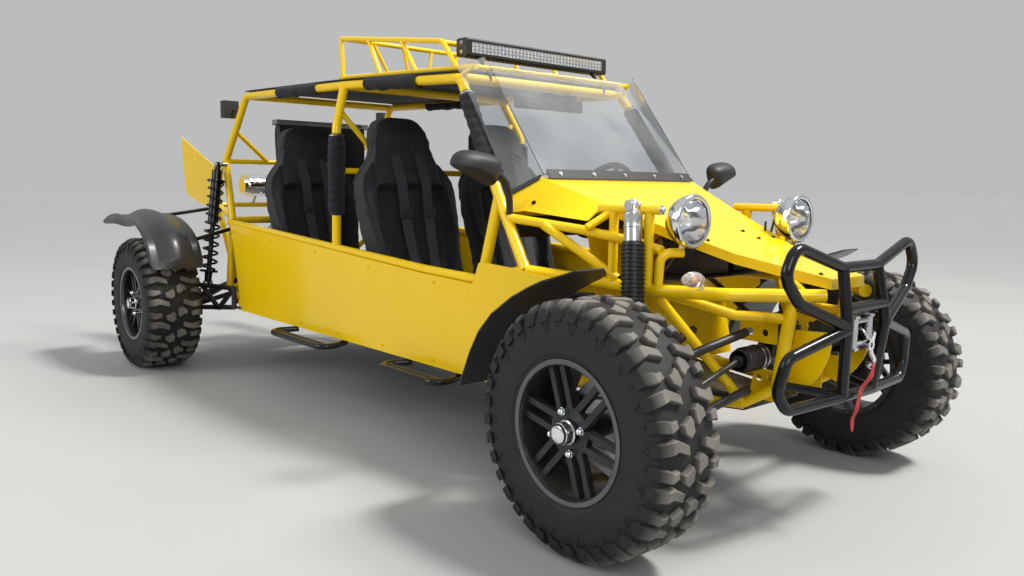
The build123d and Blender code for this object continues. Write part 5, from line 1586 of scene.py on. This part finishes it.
def makePane(side):
    # flat glass just inside the rim, bevelled at its edge
    share = mirrorHeads["pane"]
    pane = addShape(bpy.ops.mesh.primitive_circle_add, vertices=64, radius=1, fill_type="NGON")
    for vertex in pane.data.vertices:
        rim = rimAt(vertex.index / 64)
        vertex.co = Vector((0, side * rim.y * share, rim.z * share))
    startEdit(pane)
    bpy.ops.mesh.extrude_region_move(TRANSFORM_OT_translate={"value": (-0.0018, 0, 0)})
    bpy.ops.mesh.inset(thickness=0.002, depth=0.0005)
    endEdit()
    pane.location = (mirrorHeads["x"] + 0.0010, side * mirrorHeads["y"], mirrorHeads["z"])
    return pane


for side, sideName in sides:
    shellHead = wrapGrid(64, 18, mirrorShape(side))
    mendMesh(shellHead, 0.0001)
    thicken(shellHead, 0.0025, -1)
    settle(shellHead, f"mirrorHead_{sideName}", "blackPlastic", 40, False)
    stalk = [mirrored(point, side) for point in mirrorHeads["stalk"]]
    makeWire(f"mirrorStalk_{sideName}", "blackPlastic", [stalk], mirrorHeads["stalkRadius"])
    if side == 1:
        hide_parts("mirrors")
    settle(makePane(side), f"mirrorPane_{sideName}", "mirrorGlass", 30)
makeBlock("cabinMirror", "blackPlastic", (0.770, -0.160, 1.268), (0.790, 0.200, 1.318), 0.008)
makeBlock("cabinMirrorGlass", "mirrorGlass", (0.7685, -0.152, 1.275), (0.7705, 0.192, 1.311), 0.0008, 1)
makeWire("cabinMirrorStem", "blackTube",
         [[(0.786, y, 1.352), (0.786, y, 1.330), (0.782, y, 1.312)] for y in (-0.08, 0.12)], 0.006)
print("mirrors made")

# Rear fenders: a smooth dome between turned-down edges, on two stays each
rearFender = {
    "y": 0.832, "half": 0.133, "dome": 0.088, "rise": 0.030, "sheet": 0.003, "stay": 0.010,
    "line": [(-1.020, 0.545), (-1.090, 0.670), (-1.220, 0.752), (-1.400, 0.795), (-1.600, 0.800),
             (-1.740, 0.780), (-1.860, 0.742)],
    "stays": [((-1.566, 0.400, 0.839), (-1.560, 0.726, 0.792)),
              ((-1.130, 0.505, 0.735), (-1.112, 0.724, 0.680))],
}


def fenderShape(side):
    points = [Vector((x, 0, z)) for x, z in rearFender["line"]]

    def shape(across, along):
        place = alongPoints(points, along)
        ahead = (alongPoints(points, along + 0.01) - alongPoints(points, along - 0.01)).normalized()
        up = Vector((-ahead.z, 0, ahead.x))
        up = up if up.z > 0 or up.x > 0 else -up
        offset = (across - 0.5) * 2 * rearFender["half"]
        ends = min(1, 0.25 + min(along, 1 - along) * 14)
        high = 0.5 * (1 + math.cos(math.pi * min(abs(offset) / rearFender["dome"], 1)))
        high = high ** 0.62 * rearFender["rise"] * ends
        edge = max(abs(offset) - (rearFender["half"] - 0.006), 0) * 0.9
        taper = 1 - 0.10 * max(0, 0.06 - min(along, 1 - along)) / 0.06
        return Vector((0, side * (rearFender["y"] + offset * taper), 0)) + place + up * (high - edge)
    return shape


for side, sideName in sides:
    fender = wrapGrid(54, 110, fenderShape(side))
    thicken(fender, rearFender["sheet"])
    settle(fender, f"rearFenderDome_{sideName}", "glossPlastic", 50)
    stays = [[mirrored(point, side) for point in stay] for stay in rearFender["stays"]]
    makeWire(f"rearFenderStays_{sideName}", "blackTube", stays, rearFender["stay"])
    if side == 1:
        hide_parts("rear_fenders")
print("rear fenders made")

# Engine dressing: ignition leads, belt, coolant hoses, filler cap and radiator cap with its pipes
engineBay = {
    "plugs": 4, "lead": 0.0035, "hose": 0.017,
    # an ignition lead: x, y of the first lead, y from one lead to the next, z
    "leadLine": [(-1.300, -0.085, 0.09, 0.905), (-1.300, -0.085, 0.09, 0.935), (-1.270, -0.070, 0.08, 0.945),
                 (-1.230, -0.020, 0.05, 0.905), (-1.222, 0.010, 0.03, 0.850)],
    "plugBoot": [(0.0, 0.0), (0.0, 0.013), (0.010, 0.013), (0.012, 0.009), (0.028, 0.008), (0.032, 0.0)],
    # pulleys: x, z, radius, first and last angle of the belt round it
    "pulleys": [(-1.300, 0.560, 0.087, 200, 365), (-1.215, 0.720, 0.040, 5, 160)],
}
leads = [[(x, y + step * number, z) for x, y, step, z in engineBay["leadLine"]]
         for number in range(engineBay["plugs"])]
makeWire("ignitionLeads", "redSleeve", leads, engineBay["lead"])
for number in range(engineBay["plugs"]):
    makeTurned(f"plugBoot_{number}", "sealRubber", engineBay["plugBoot"],
               (-1.300, -0.085 + 0.09 * number, 0.9055), (0, 0, 1), 20, 40)
makeTurned("oilCap", "blackPlastic",
           [(0.0, 0.0), (0.0, 0.026), (0.006, 0.027), (0.014, 0.024), (0.016, 0.018), (0.016, 0.0)],
           (-1.345, 0.215, 0.9065), (0, 0, 1), 12, 30)
makeWire("coolantHoses", "sealRubber",
         [[(-1.222, 0.160, 0.770), (-1.190, 0.175, 0.790), (-1.135, 0.200, 0.860), (-1.112, 0.215, 0.930),
           (-1.085, 0.220, 0.965)],
          [(-1.222, -0.100, 0.790), (-1.190, -0.140, 0.830), (-1.140, -0.215, 1.000), (-1.136, -0.230, 1.180),
           (-1.128, -0.235, 1.290), (-1.092, -0.235, 1.304)]], engineBay["hose"])
hoseClamps = [((-1.210, 0.164, 0.776), (0.8, 0.2, 0.4)), ((-1.096, 0.2185, 0.950), (0.55, 0.1, 0.9)),
              ((-1.210, -0.114, 0.803), (0.7, -0.4, 0.6)), ((-1.104, -0.235, 1.301), (1, 0, 0.2))]
for number, (place, way) in enumerate(hoseClamps):
    makeTurned(f"hoseClamp_{number}", "zincSteel",
               [(-0.005, 0.0168), (-0.005, 0.0185), (0.005, 0.0185), (0.005, 0.0168)], place, way, 28, 40)


def beltLine():
    # the outer loop of the belt round both pulleys, in their plane
    points = []
    for x, z, radius, start, end in engineBay["pulleys"]:
        points += [(x + radius * math.cos(math.radians(angle)), z + radius * math.sin(math.radians(angle)))
                   for angle in range(start, end + 1, 15)]
    return points + points[:1]


def beltShape(across, along):
    points = beltLine()
    spot = along * (len(points) - 1)
    index = min(int(spot), len(points) - 2)
    x, z = (a + (b - a) * (spot - index) for a, b in zip(points[index], points[index + 1]))
    return Vector((x, 0.256 + 0.018 * across, z))


belt = wrapGrid(5, 104, beltShape)
thicken(belt, 0.005, 1)
settle(belt, "driveBelt", "sealRubber", 40)
makeBlock("radiatorCap", "castAlloy", (-1.0985, -0.2805, 1.2915), (-1.0375, 0.2805, 1.3195), 0.005)
makeWire("radiatorPipes", "castAlloy",
         [[(-1.0375, y, z), (-1.020, y, z)] for y, z in ((0.24, 1.305), (-0.24, 0.976))], 0.012)
print("engine dressed")
